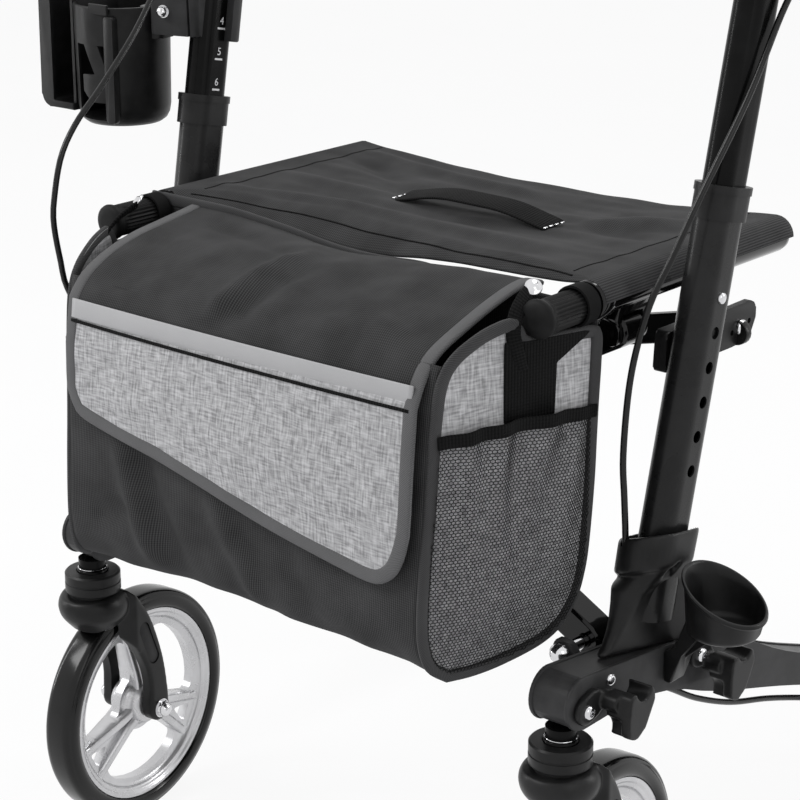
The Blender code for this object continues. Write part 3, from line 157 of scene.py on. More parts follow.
def loft(loops):
    """A skin over loops of as many points each, closed at both ends."""
    bm = bmesh.new()
    rings = [[bm.verts.new(point) for point in loop] for loop in loops]
    bm.faces.new(rings[0])
    bm.faces.new(rings[-1])
    for low, high in zip(rings, rings[1:]):
        for i in range(len(low)):
            j = (i + 1) % len(low)
            bm.faces.new((low[i], low[j], high[j], high[i]))
    return mesh_of(bm)


def turned(profile, axis="Z", centre=(0, 0, 0), steps=64):
    """A profile of (radius, distance along the axis) points turned round an axis."""
    bm = bmesh.new()
    points = [bm.verts.new((radius, 0, along)) for radius, along in profile]
    edges = [bm.edges.new(pair) for pair in zip(points, points[1:])]
    if profile[0][0] > 0:
        edges.append(bm.edges.new((points[-1], points[0])))
    bmesh.ops.spin(
        bm, geom=points + edges, cent=(0, 0, 0), axis=(0, 0, 1),
        angle=2 * math.pi, steps=steps, use_merge=True,
    )
    bmesh.ops.remove_doubles(bm, verts=bm.verts, dist=1e-6)
    turn = {
        "Z": Matrix.Identity(4),
        "X": Matrix.Rotation(math.pi / 2, 4, "Y"),
        "Y": Matrix.Rotation(-math.pi / 2, 4, "X"),
    }[axis]
    bm.transform(Matrix.Translation(centre) @ turn)
    return mesh_of(bm)


def arc(centre, radius, start, turn, steps):
    """Outline points on an arc, from an angle in degrees on through a turn."""
    angles = [math.radians(start + turn * i / steps) for i in range(steps + 1)]
    return [(centre[0] + radius * math.cos(a), centre[1] + radius * math.sin(a)) for a in angles]


def oblong(left, right, low, high):
    """The corners of a rectangle."""
    return [(left, low), (right, low), (right, high), (left, high)]


def hexagon(radius):
    """The corners of a hexagon round the origin."""
    return arc((0, 0), radius, 0, 300, 5)


def stadium(length, width, steps=12):
    """A slot shape round the origin, long along its second coordinate."""
    radius = width / 2
    straight = (length - width) / 2
    points = arc((0, straight), radius, 0, 180, steps) + arc((0, -straight), radius, 180, 180, steps)
    if straight < 1e-6:
        points = [point for i, point in enumerate(points) if i not in (steps, 2 * steps + 1)]
    return points


def rod(radius, low, high, axis="X", at=(0, 0), steps=24, bevel=0.0):
    """A round bar along an axis, at two outline coordinates."""
    circle = [(at[0] + a, at[1] + b) for a, b in stadium(2 * radius, 2 * radius, steps // 2)]
    return prism(circle, low, high, axis, bevel)


def rounded(corners, radius, steps=5):
    """An outline with each corner replaced by an arc, limited by the sides beside it."""
    points = []
    count = len(corners)
    for i, corner in enumerate(corners):
        here = Vector(corner)
        before = Vector(corners[i - 1]) - here
        after = Vector(corners[(i + 1) % count]) - here
        turn = before.angle(after)
        reach = min(radius / math.tan(turn / 2), 0.45 * before.length, 0.45 * after.length)
        start = here + before.normalized() * reach
        end = here + after.normalized() * reach
        for k in range(steps + 1):
            t = k / steps
            points.append(tuple((1 - t) ** 2 * start + 2 * t * (1 - t) * here + t * t * end))
    return points


def bar_outline(start, end, half, steps=10):
    """A flat bar's outline with a round end about each of two points."""
    start, end = Vector(start), Vector(end)
    run = (end - start).normalized()
    heading = math.degrees(math.atan2(run.y, run.x))
    return arc(end, half, heading - 90, 180, steps) + arc(start, half, heading + 90, 180, steps)


def helper(data):
    """An object that is only there to work on a mesh or a text."""
    made = bpy.data.objects.new("helper", data)
    bpy.context.scene.collection.objects.link(made)
    return made


def finished(body, tools=()):
    """The mesh of a helper with its modifiers applied; it and its tools are then removed."""
    graph = bpy.context.evaluated_depsgraph_get()
    result = bpy.data.meshes.new_from_object(body.evaluated_get(graph))
    for used in (body, *tools):
        bpy.data.objects.remove(used)
    return result


def combined(mesh, join=(), cut=(), shared=()):
    """A mesh with shapes joined to it, others cut out of it, or only what it shares with others."""
    body = helper(mesh)
    tools = []
    for operation, shapes in (("UNION", join), ("DIFFERENCE", cut), ("INTERSECT", shared)):
        for shape in shapes:
            tools.append(helper(shape))
            boolean = body.modifiers.new(operation.lower(), "BOOLEAN")
            boolean.operation = operation
            boolean.solver = "EXACT"
            boolean.object = tools[-1]
    return finished(body, tools)


def moulded(mesh, cell=0.0012, rounds=8):
    """A solid remade from small cells and smoothed, which rounds its edges as a mould does."""
    body = helper(mesh)
    remake(body, cell, rounds)
    return finished(body)


def remake(made, cell, rounds):
    """Has an object remade from small cells, and then smoothed."""
    remesh = made.modifiers.new("cells", "REMESH")
    remesh.mode = "VOXEL"
    remesh.voxel_size = cell
    remesh.use_smooth_shade = True
    smooth = made.modifiers.new("smooth", "SMOOTH")
    smooth.factor = 0.5
    smooth.iterations = rounds


def soften(made, width, angle):
    """Rounds an object's edges that are sharper than an angle."""
    rounding = made.modifiers.new("rounding", "BEVEL")
    rounding.width = width
    rounding.segments = 2
    rounding.limit_method = "ANGLE"
    rounding.angle_limit = math.radians(angle)
    rounding.harden_normals = True


def gathered(meshes):
    """Several meshes as one."""
    bm = bmesh.new()
    for mesh in meshes:
        bm.from_mesh(mesh)
    made = bpy.data.meshes.new("gathered")
    bm.to_mesh(made)
    bm.free()
    return made


def moved(mesh, matrix):
    """The same mesh after a matrix."""
    mesh.transform(matrix)
    return mesh


def smooth_points(route, count):
    """Evenly spaced points on a smooth curve through a route's own points."""
    route = [Vector(point) for point in route]
    ends = [route[0] * 2 - route[1]] + route + [route[-1] * 2 - route[-2]]
    fine = []
    for i in range(1, len(ends) - 2):
        before, here, after, later = ends[i - 1 : i + 3]
        for k in range(16):
            t = k / 16
            bend = here * 2 + (after - before) * t + (before * 2 - here * 5 + after * 4 - later) * t**2
            fine.append((bend + (here * 3 - before - after * 3 + later) * t**3) / 2)
    fine.append(route[-1])
    lengths = [0.0]
    for a, b in zip(fine, fine[1:]):
        lengths.append(lengths[-1] + (b - a).length)
    points, k = [], 0
    for i in range(count):
        target = lengths[-1] * i / (count - 1)
        while k < len(fine) - 2 and lengths[k + 1] < target:
            k += 1
        share = (target - lengths[k]) / (lengths[k + 1] - lengths[k])
        points.append(fine[k].lerp(fine[k + 1], min(max(share, 0), 1)))
    return points


def tube(points, radius, steps=14):
    """A round tube along points, with its sections turned as little as can be."""
    points = [Vector(point) for point in points]
    side = Vector((0, 0, 1)) if abs((points[1] - points[0]).normalized().z) < 0.8 else Vector((1, 0, 0))
    loops = []
    for i, point in enumerate(points):
        run = (points[min(i + 1, len(points) - 1)] - points[max(i - 1, 0)]).normalized()
        side = (side - run * side.dot(run)).normalized()
        across = run.cross(side)
        turns = [2 * math.pi * k / steps for k in range(steps)]
        loops.append([point + (side * math.cos(a) + across * math.sin(a)) * radius for a in turns])
    return loft(loops)


def tape(points, normals, width, thick, closed=False, steps=3):
    """A flat band along points, thick along their normals, with round edges and UVs in metres."""
    points = [Vector(point) for point in points]
    section = []
    for side in (1, -1):
        for k in range(steps + 1):
            angle = math.pi * k / steps - math.pi / 2
            along = side * (width / 2 - thick / 2 + thick / 2 * math.cos(angle))
            section.append((along, side * thick / 2 * math.sin(angle)))
    loops, reach, total = [], [], 0.0
    for i, point in enumerate(points):
        before = points[i - 1] if closed or i else point
        after = points[(i + 1) % len(points)] if closed or i < len(points) - 1 else point
        up = Vector(normals[i]).normalized()
        across = up.cross(after - before).normalized()
        loops.append([point + across * a + up * b for a, b in section])
        total += (point - points[i - 1]).length if i else 0.0
        reach.append(total)
    bm = bmesh.new()
    uv = bm.loops.layers.uv.new("UVMap")
    rings = [[bm.verts.new(corner) for corner in loop] for loop in loops]
    pairs = list(zip(range(len(rings)), range(1, len(rings))))
    if closed:
        pairs.append((len(rings) - 1, 0))
        reach.append(total + (points[0] - points[-1]).length)
    else:
        bm.faces.new(rings[0])
        bm.faces.new(rings[-1])
    for low, high in pairs:
        ends = (reach[low], reach[high] if high else reach[-1])
        for i in range(len(section)):
            j = (i + 1) % len(section)
            face = bm.faces.new((rings[low][i], rings[low][j], rings[high][j], rings[high][i]))
            across = (section[i][0], section[j][0], section[j][0], section[i][0])
            for corner, u, v in zip(face.loops, (ends[0], ends[0], ends[1], ends[1]), across):
                corner[uv].uv = (u, v)
    return mesh_of(bm)


def cloth(rows, uvs):
    """An open sheet over rows of as many points each, with a UV in metres for every point."""
    bm = bmesh.new()
    uv = bm.loops.layers.uv.new("UVMap")
    grid = [[bm.verts.new(point) for point in row] for row in rows]
    for i in range(len(grid) - 1):
        for j in range(len(grid[0]) - 1):
            corners = ((i, j), (i, j + 1), (i + 1, j + 1), (i + 1, j))
            face = bm.faces.new([grid[a][b] for a, b in corners])
            for corner, (a, b) in zip(face.loops, corners):
                corner[uv].uv = uvs[a][b]
    mesh = bpy.data.meshes.new("cloth")
    bm.to_mesh(mesh)
    bm.free()
    return mesh


def upright_matrix():
    """The upright's own frame: its Z runs up the tube from the point UPRIGHT."""
    along = Vector((SPLAY, LEAN, 1)).normalized()
    out = (Vector((1, 0, 0)) - along * along.x).normalized()
    across = along.cross(out)
    turn = Matrix((out, across, along)).transposed().to_4x4()
    return Matrix.Translation(UPRIGHT) @ turn


# Objects


def piece(name, mesh, look, body, stands_for=(), bevel=0.0, smooth=40):
    """One object of the model, riding on its body, with its sharp edges rounded by a bevel."""
    mesh.shade_smooth()
    mesh.set_sharp_from_angle(angle=math.radians(smooth))
    mesh.materials.clear()
    mesh.materials.append(bpy.data.materials[look])
    made = bpy.data.objects.new(name, mesh)
    bpy.context.scene.collection.objects.link(made)
    made.location = ORIGIN
    if bevel:
        soften(made, bevel, 38)
    if body:
        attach(made, body)
    if stands_for:
        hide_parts(*stands_for)
    return made


def on_side(mesh, side, caster=False):
    """A copy of a left-hand mesh for one side. A caster's mesh starts at its swivel axis."""
    matrix = Matrix.Identity(4)
    if caster:
        turn = CASTER_TURN if side == "left" else -CASTER_TURN
        matrix = Matrix.Translation((BEAM_X, 0, 0)) @ Matrix.Rotation(turn, 4, "Z")
    if side == "right":
        matrix = Matrix.Scale(-1, 4, (1, 0, 0)) @ matrix
    copy = mesh.copy()
    copy.transform(matrix)
    if side == "right":
        copy.flip_normals()
    return copy


def both(name, mesh, look, body, node=None, caster=False, **more):
    """The same piece on both sides, each standing for that side's node where one is named."""
    made = []
    for side in SIDES:
        stands_for = [f"{node}_{side}"] if node else []
        shape = on_side(mesh, side, caster)
        made.append(piece(f"{name}_{side}", shape, look, f"{body}_{side}", stands_for, **more))
    return made


def refine(node, look, cell=0.0):
    """Gives a kept node its material and soft edges, by a bevel or by remaking it from small cells."""
    made = frame["nodes"][node]
    mesh = made.data
    for layer in ("custom_normal", "sharp_edge", "sharp_face"):
        if layer in mesh.attributes:
            mesh.attributes.remove(mesh.attributes[layer])
    mesh.shade_smooth()
    mesh.materials.clear()
    mesh.materials.append(bpy.data.materials[look])
    weld = made.modifiers.new("weld", "WELD")
    weld.merge_threshold = 0.00001
    if cell:
        remake(made, cell, 6)
        return
    soften(made, 0.0006, 44)
    split = made.modifiers.new("split", "EDGE_SPLIT")
    split.split_angle = math.radians(48)


# Materials


def add(tree, kind, inputs=(), **settings):
    """A node with its settings, and its inputs given as values or as other nodes' outputs."""
    made = tree.nodes.new(kind)
    for key, value in settings.items():
        setattr(made, key, value)
    for key, value in dict(inputs).items():
        if isinstance(value, bpy.types.NodeSocket):
            tree.links.new(value, made.inputs[key])
        else:
            made.inputs[key].default_value = value
    return made


def grey(value):
    """A neutral colour."""
    return (value, value, value * 1.02)


def ramp(tree, factor, low, high, at=(0.35, 0.65)):
    """A colour between two, from where a factor lies between two levels."""
    made = add(tree, "ShaderNodeValToRGB", {"Fac": factor})
    for stop, place, colour in zip(made.color_ramp.elements, at, (low, high)):
        stop.position = place
        stop.color = (*colour, 1)
    return made.outputs["Color"]


def shader(name, metallic=0.0, level=0.5, coat=0.0, sheen=0.0):
    """A material, new or the frame's own, with its node tree and its shader."""
    surface = bpy.data.materials.get(name) or bpy.data.materials.new(name)
    surface.use_nodes = True
    tree = surface.node_tree
    tree.nodes.clear()
    made = tree.nodes.new("ShaderNodeBsdfPrincipled")
    shown = tree.nodes.new("ShaderNodeOutputMaterial")
    tree.links.new(made.outputs["BSDF"], shown.inputs["Surface"])
    made.inputs["Metallic"].default_value = metallic
    made.inputs["Specular IOR Level"].default_value = level
    made.inputs["Coat Weight"].default_value = coat
    made.inputs["Coat Roughness"].default_value = 0.08
    made.inputs["Sheen Weight"].default_value = sheen
    made.inputs["Sheen Roughness"].default_value = 0.5
    return surface, tree, made


def grained(name, dark, light, rough, scale, bump, depth=0.0002, fine=8.0, **more):
    """A hard surface: slow mottling between two greys and in its gloss, and a fine grain in relief."""
    surface, tree, made = shader(name, **more)
    place = add(tree, "ShaderNodeTexCoord").outputs["Object"]
    slow = add(tree, "ShaderNodeTexNoise", {"Vector": place, "Scale": scale, "Detail": 5.0})
    quick = add(tree, "ShaderNodeTexNoise", {"Vector": place, "Scale": scale * fine, "Detail": 3.0})
    tree.links.new(ramp(tree, slow.outputs["Fac"], grey(dark), grey(light)), made.inputs["Base Color"])
    spread = {
        "Value": slow.outputs["Fac"], "From Min": 0.3, "From Max": 0.7, "To Min": rough[0],
        "To Max": rough[1],
    }
    gloss = add(tree, "ShaderNodeMapRange", spread)
    tree.links.new(gloss.outputs["Result"], made.inputs["Roughness"])
    relief = {"Height": quick.outputs["Fac"], "Strength": bump, "Distance": depth}
    tree.links.new(add(tree, "ShaderNodeBump", relief).outputs["Normal"], made.inputs["Normal"])
    return surface


def thread_waves(tree, pitch, slant=0.0):
    """Two waves across UVs in metres, one for each way that the threads run."""
    place = add(tree, "ShaderNodeTexCoord").outputs["UV"]
    parts = add(tree, "ShaderNodeSeparateXYZ", {"Vector": place})
    turn = 2 * math.pi / pitch
    waves = []
    for axis, other in (("X", "Y"), ("Y", "X")):
        straight = add(tree, "ShaderNodeMath", {0: parts.outputs[axis], 1: turn}, operation="MULTIPLY")
        lean = {0: parts.outputs[other], 1: turn * slant, 2: straight.outputs[0]}
        leaned = add(tree, "ShaderNodeMath", lean, operation="MULTIPLY_ADD")
        waves.append(add(tree, "ShaderNodeMath", {0: leaned.outputs[0]}, operation="SINE").outputs[0])
    return place, waves


def woven(name, dark, light, rough, pitch, bump, slant=0.0, **more):
    """A plain or twill weave: its threads cross in relief, and its grey is a little uneven."""
    surface, tree, made = shader(name, **more)
    place, waves = thread_waves(tree, pitch, slant)
    cross = add(tree, "ShaderNodeMath", {0: waves[1], 1: 0.45, 2: waves[0]}, operation="MULTIPLY_ADD")
    level = add(tree, "ShaderNodeMath", {0: cross.outputs[0], 1: 0.34, 2: 0.5}, operation="MULTIPLY_ADD")
    slow = add(tree, "ShaderNodeTexNoise", {"Vector": place, "Scale": 26.0, "Detail": 6.0})
    mixed = add(tree, "ShaderNodeMath", {0: slow.outputs["Fac"], 1: 0.5, 2: 0.0}, operation="MULTIPLY_ADD")
    both_levels = {0: level.outputs[0], 1: 0.5, 2: mixed.outputs[0]}
    factor = add(tree, "ShaderNodeMath", both_levels, operation="MULTIPLY_ADD")
    tree.links.new(
        ramp(tree, factor.outputs[0], grey(dark), grey(light), (0.25, 0.75)), made.inputs["Base Color"],
    )
    made.inputs["Roughness"].default_value = rough
    relief = {"Height": level.outputs[0], "Strength": bump, "Distance": pitch * 0.25}
    tree.links.new(add(tree, "ShaderNodeBump", relief).outputs["Normal"], made.inputs["Normal"])
    return surface


def melange(name, dark, light, rough, bump):
    """Cloth of threads of many greys, seen as short streaks that cross."""
    surface, tree, made = shader(name, level=0.15)
    place = add(tree, "ShaderNodeTexCoord").outputs["UV"]
    streaks = []
    for stretch in ((80.0, 640.0, 1.0), (640.0, 80.0, 1.0)):
        turned_place = add(tree, "ShaderNodeMapping", {"Vector": place, "Scale": stretch})
        made_noise = {"Vector": turned_place.outputs["Vector"], "Scale": 1.0, "Detail": 1.0}
        streaks.append(add(tree, "ShaderNodeTexNoise", made_noise).outputs["Fac"])
    total = add(tree, "ShaderNodeMath", {0: streaks[0], 1: streaks[1]}, operation="ADD")
    factor = add(tree, "ShaderNodeMath", {0: total.outputs[0], 1: 0.5}, operation="MULTIPLY")
    tree.links.new(ramp(tree, factor.outputs[0], grey(dark), grey(light)), made.inputs["Base Color"])
    made.inputs["Roughness"].default_value = rough
    relief = {"Height": factor.outputs[0], "Strength": bump, "Distance": 0.0004}
    tree.links.new(add(tree, "ShaderNodeBump", relief).outputs["Normal"], made.inputs["Normal"])
    return surface


def make_materials():
    """Every surface of the rollator."""
    grained("frame_paint", 0.009, 0.014, (0.24, 0.32), 60, 0.08, level=0.22)
    grained("beam_paint", 0.034, 0.048, (0.34, 0.44), 60, 0.10, level=0.11)
    grained("beam_top_paint", 0.006, 0.010, (0.18, 0.25), 60, 0.06, level=0.14)
    grained("gloss_black_tube", 0.002, 0.004, (0.06, 0.10), 40, 0.03, level=0.30)
    grained("inner_tube", 0.003, 0.006, (0.16, 0.24), 50, 0.04, level=0.09)
    grained("black_plastic", 0.007, 0.015, (0.30, 0.42), 45, 0.20, fine=40.0, level=0.20)
    grained("satin_lever", 0.005, 0.010, (0.24, 0.32), 45, 0.12, fine=30.0, level=0.09)
    grained("clamp_grey", 0.026, 0.040, (0.40, 0.50), 45, 0.20, fine=40.0, level=0.09)
    grained("grip_rubber", 0.006, 0.011, (0.50, 0.62), 70, 0.30, fine=20.0, level=0.14)
    grained("tyre_rubber", 0.003, 0.006, (0.12, 0.20), 30, 0.04, level=0.30)
    grained("silver_rim", 0.52, 0.62, (0.24, 0.32), 30, 0.05, level=0.5, metallic=0.72)
    grained("chrome", 0.62, 0.74, (0.08, 0.16), 80, 0.03, metallic=1.0)
    grained("cable_sheath", 0.003, 0.006, (0.24, 0.32), 90, 0.10, level=0.30)
    grained("scale_ink", 0.72, 0.80, (0.5, 0.6), 90, 0.05)
    woven("black_fabric", 0.016, 0.070, 0.80, 0.0017, 0.4, level=0.08, sheen=0.02)
    woven("black_webbing", 0.003, 0.009, 0.80, 0.0024, 0.9, level=0.10)
    woven("grey_binding", 0.100, 0.150, 0.85, 0.0016, 0.6, slant=1.0, level=0.10, sheen=0.05)
    woven("side_binding", 0.044, 0.072, 0.85, 0.0016, 0.6, slant=1.0, level=0.10, sheen=0.05)
    woven("reflective_band", 0.37, 0.44, 0.45, 0.0010, 0.2, slant=1.0, level=0.4)
    woven("net_thread", 0.006, 0.012, 0.75, 0.0006, 0.3, level=0.12)
    melange("grey_fabric", 0.24, 0.56, 0.90, 0.30)


# Wheels


def tyre():
    """A tyre with a flat tread, a fine step on each shoulder and round sidewalls."""
    half = [
        (0.1000, 0.0065), (0.0996, 0.0095), (0.0984, 0.0118), (0.0962, 0.0134), (0.0956, 0.0133),
        (0.0950, 0.0138), (0.0925, 0.0147), (0.0895, 0.0150), (0.0868, 0.0146), (0.0850, 0.0136),
        (0.0843, 0.0122),
    ]
    profile = half + [(radius, -along) for radius, along in half[::-1]]
    return turned(profile, "X", (0, 0, 0), 112)


def spoke_half(radius):
    """Half the width of a spoke at a radius: it widens towards the rim."""
    return 0.0085 + 0.0105 * max(radius - 0.024, 0) / 0.046


def window(index):
    """The big opening with round corners between two spokes."""
    half, reach = 0.033, 0.0115
    middle = 2 * math.pi * (index + 0.5) / SPOKES + math.pi / 2
    corners = oblong(-half, half, WINDOW_LOW, WINDOW_HIGH)
    outline = []
    ring = rounded(corners, reach, 6)
    for start, end in zip(ring, ring[1:] + ring[:1]):
        runs = max(1, round(abs(end[0] - start[0]) / 0.006))
        for k in range(runs):
            across = start[0] + (end[0] - start[0]) * k / runs
            radius = start[1] + (end[1] - start[1]) * k / runs
            spread = math.pi / SPOKES - math.asin(spoke_half(radius) / radius)
            angle = middle + spread * across / half
            outline.append((radius * math.cos(angle), radius * math.sin(angle)))
    return outline


def spoke_point(index, radius, side):
    """A place beside a spoke's middle line, in the wheel's plane."""
    angle = 2 * math.pi * index / SPOKES + math.pi / 2
    along, across = Vector((math.cos(angle), math.sin(angle))), Vector((-math.sin(angle), math.cos(angle)))
    return along * radius + across * side


def rim():
    """A cast rim: stepped lip, three windows, and spokes whose two ribs part towards the lip."""
    lip = [
        (0.0838, 0.0122), (0.0818, 0.0125), (0.0804, 0.0121), (0.0798, 0.0108), (0.0780, 0.0101),
        (0.0764, 0.0098), (0.0757, 0.0086), (0.0754, 0.0070), (0.0738, 0.0058), (0.0716, 0.0050),
    ]
    web = [(0.0650, 0.0038), (0.0225, 0.0038), (0.0196, 0.0052), (0.0176, 0.0100), (0.0168, 0.0138)]
    hub = [(0.0152, 0.0153), (0.0085, 0.0155), (0.0080, 0.0146), (AXLE_RADIUS, 0.0146)]
    half = lip + web + hub
    profile = half + [(radius, -along) for radius, along in half[::-1]]
    disc = turned(profile, "X", (0, 0, 0), 96)
    windows = [prism(window(i), -0.03, 0.03) for i in range(SPOKES)]
    ribs, pockets = [], []
    for i in range(SPOKES):
        for side in (1, -1):
            line = []
            for k in range(9):
                radius = 0.014 + 0.0595 * k / 8
                line.append(spoke_point(i, radius, side * max(spoke_half(radius) - 0.0033, 0.0015)))
            ribs.append(rib(line, RIB_HALF))
        pocket = [
            spoke_point(i, 0.0500, 0), spoke_point(i, 0.0685, 0.0088), spoke_point(i, 0.0685, -0.0088),
        ]
        pockets.append(prism(rounded([tuple(point) for point in pocket], 0.0018, 3), -0.03, 0.03))
    return combined(combined(disc, join=ribs), cut=windows + pockets)


def rib(line, half):
    """A raised rib along a line in the wheel's plane, higher at the hub than at the lip."""
    loops = []
    for i, point in enumerate(line):
        run = line[min(i + 1, len(line) - 1)] - line[max(i - 1, 0)]
        side = Vector((-run.y, run.x)).normalized()
        height = RIB_AT_HUB - RIB_DROP * i / (len(line) - 1)
        section = rounded(oblong(-half, half, -height, height), 0.0040, 5)
        loops.append([(h, point.x + side.x * s, point.y + side.y * s) for s, h in section])
    return loft(loops)


def make_wheels():
    """The four wheels, alike but for where they turn."""
    tread, disc = tyre(), rim()
    for name, x, y in (("caster", 0.0, CASTER_TRAIL), ("rear", REAR_AXLE[0], REAR_AXLE[1])):
        place = Matrix.Translation((x, y, WHEEL_RADIUS))
        for kind, mesh, look in (("tyre", tread, "tyre_rubber"), ("rim", disc, "silver_rim")):
            shape = mesh.copy()
            shape.transform(place)
            made = both(
                f"{name}_{kind}_cast", shape, look, f"{name}_wheel", f"{name}_{kind}", name == "caster",
            )
            for wheel_piece in made:
                wheel_piece.data.set_sharp_from_angle(angle=math.radians(50))


def acorn(at, axis, out, radius=0.0075):
    """A hexagon nut with a domed end, its flat face at a point, pointing along out."""
    thick = out * 0.0042
    nut = prism(hexagon(radius * 1.1), 0, thick, axis, 0.0004, 1)
    dome = [(a, thick + out * 0.85 * b) for a, b in arc((0, 0), radius, 0, 90, 8)]
    cap = turned(
        [(0, out * 0.001), (radius, out * 0.001)] + dome[:-1] + [(0, dome[-1][1])], axis, (0, 0, 0), 32,
    )
    washer = turned(oblong(0, radius * 1.25, 0, out * 0.0012), axis, (0, 0, 0), 32)
    return moved(combined(nut, join=[cap, washer]), Matrix.Translation(at))


def fork():
    """The caster's fork: a bulb under a stepped cap, and legs that sweep back to the axle."""
    boss = arc((CASTER_TRAIL, WHEEL_RADIUS), 0.0118, 165, 205, 16)
    front = [
        (-0.0300, 0.2150), (-0.0290, 0.1980), (-0.0200, 0.1880), (-0.0040, 0.1840), (0.0080, 0.1770),
        (0.0176, 0.1675), (0.0268, 0.1530), (0.0335, 0.1385), (0.0362, 0.1240), (0.0356, 0.1120),
    ]
    rear = [
        (0.0580, 0.1110), (0.0553, 0.1325), (0.0505, 0.1542), (0.0395, 0.1848), (0.0262, 0.2066),
        (0.0140, 0.2200),
    ]
    curve = smooth_points([(y, z, 0) for y, z in front], 40) + [Vector((y, z, 0)) for y, z in boss]
    curve += smooth_points([(y, z, 0) for y, z in rear], 24)
    side = prism([(point.x, point.y) for point in curve], -0.04, 0.04)
    plan = arc((0, 0), 0.0298, 180, 180, 24) + [
        (0.0285, 0.026), (0.0278, 0.080), (-0.0278, 0.080), (-0.0285, 0.026),
    ]
    bulb = [
        (0, 0.174), (0.0060, 0.1760), (0.0124, 0.1820), (0.0172, 0.1862), (0.0216, 0.1910),
        (0.0260, 0.1960), (0.0284, 0.2000), (0.0297, 0.2060), (0.0290, 0.2112), (0.0270, 0.2152),
        (0.0240, 0.2180), (0.0200, 0.2204), (0, 0.2204),
    ]
    wedge = [
        (-0.010, 0.0012), (0.010, 0.0012), (0.0303, 0.0207), (0.0303, 0.0807), (-0.0303, 0.0807),
        (-0.0303, 0.0207),
    ]
    limit = combined(turned(bulb, steps=56), join=[prism(wedge, 0.07, 0.2185, "Z")])
    shape = moulded(combined(prism(plan, 0.05, 0.23, "Z"), shared=[side, limit]), 0.0011, 22)
    low = 0.2190
    cap = [
        (0, low - 0.003), (0.0205, low - 0.003), (0.0205, low), (CAP_RADIUS - 0.0008, low),
        (CAP_RADIUS - 0.0002, low + 0.0006), (CAP_RADIUS, low + 0.0012), (CAP_RADIUS, 0.2268),
        (CAP_RADIUS - 0.0006, 0.2272), (CAP_RADIUS - 0.0006, 0.2280), (CAP_RADIUS - 0.0001, 0.2285),
        (CAP_RADIUS - 0.0001, CAP_TOP - 0.0014), (CAP_RADIUS - 0.0014, CAP_TOP), (0.0135, CAP_TOP),
        (0.0130, CAP_TOP - 0.0010), (0, CAP_TOP - 0.0010),
    ]
    slot = rod(WHEEL_RADIUS + 0.004, -0.018, 0.018, "X", (CASTER_TRAIL, WHEEL_RADIUS), 72, 0.002)
    bore = rod(AXLE_RADIUS, -0.05, 0.05, "X", (CASTER_TRAIL, WHEEL_RADIUS), 16)
    oval = fork_oval(0.0062)
    insets = [
        prism(oval, *sorted((out * (FORK_HALF - 0.0016), out * 0.04)), bevel=0.0004, rounds=1)
        for out in (1, -1)
    ]
    return combined(shape, join=[turned(cap)], cut=[slot, bore] + insets)


def fork_oval(half):
    """The oval pad on the fork's leg."""
    return bar_outline((0.0292, 0.1790), (0.0405, 0.1500), half)


def make_casters():
    """Forks, stems and axle nuts."""
    both("caster_fork_cast", fork(), "black_plastic", "caster", "caster_fork", True)
    pads = [
        prism(
            fork_oval(0.0056), *sorted((out * (FORK_HALF - 0.0018), out * (FORK_HALF - 0.0006))),
            bevel=0.0005, rounds=2,
        )
        for out in (1, -1)
    ]
    both("caster_fork_pads", combined(pads[0], join=[pads[1]]), "clamp_grey", "caster", None, True)
    neck = [
        (0, CAP_TOP - 0.001), (0.0128, CAP_TOP - 0.001), (0.0128, 0.2376), (0.0120, 0.2386),
        (0.0113, 0.2390), (0.0113, 0.2476), (0, 0.2476),
    ]
    both("caster_neck", moved(turned(neck), Matrix.Translation((BEAM_X, 0, 0))), "inner_tube", "side_frame")
    collar = [(0.0108, 0.2392), (0.0118, 0.2392), (0.0120, 0.2395), (0.0118, 0.2398), (0.0108, 0.2398)]
    ring = moved(turned(collar), Matrix.Translation((BEAM_X, 0, 0)))
    both("caster_neck_ring", ring, "chrome", "side_frame", "caster_stem")
    axle = (CASTER_TRAIL, WHEEL_RADIUS)
    pin = rod(0.004, -FORK_HALF, FORK_HALF, "X", axle)
    nuts = [acorn((out * (FORK_HALF + GAP), *axle), "X", out, 0.0066) for out in (1, -1)]
    both("caster_axle_nuts", combined(pin, join=nuts), "chrome", "caster", "caster_axle", True)


# Frame


def beam_top(y):
    """Height of the front stretch's top edge at a distance along Y."""
    return 0.288 + BEAM_SLOPE * y


def beam_outline(inset=0.0):
    """Side view of the beam, from the round knuckle back into the rear bracket."""
    radius = KNUCKLE_RADIUS - inset
    knuckle = arc(KNUCKLE, radius, -90, -180, 16)
    top = [(0.148, beam_top(0.148)), (0.186, 0.257), (0.222, 0.240), (0.297, 0.204), (0.470, 0.1397)]
    under = [
        (0.470, 0.1118), (0.300, 0.175), (0.178, 0.214), (0.130, 0.233), (0.112, 0.239), (0.086, 0.245),
        (0.037, 0.2485),
    ]
    top = smooth_points([(y, z - inset, 0) for y, z in top], 16)
    under = smooth_points([(y, z + inset, 0) for y, z in under], 20)
    return knuckle + [(p.x, p.y) for p in top] + [(p.x, p.y) for p in under]


def lug(y_low, y_high):
    """The ear on the beam's inner face that holds the pivot rod."""
    inner = BEAM_X - BEAM_HALF + 0.003
    corners = [
        (inner, 0.258), (inner, 0.274), (0.217, 0.2885), (0.204, 0.2895), (0.2005, 0.280), (0.206, 0.2705),
    ]
    return prism(rounded(corners, 0.004), y_low, y_high, "Y", 0.0006, 1)


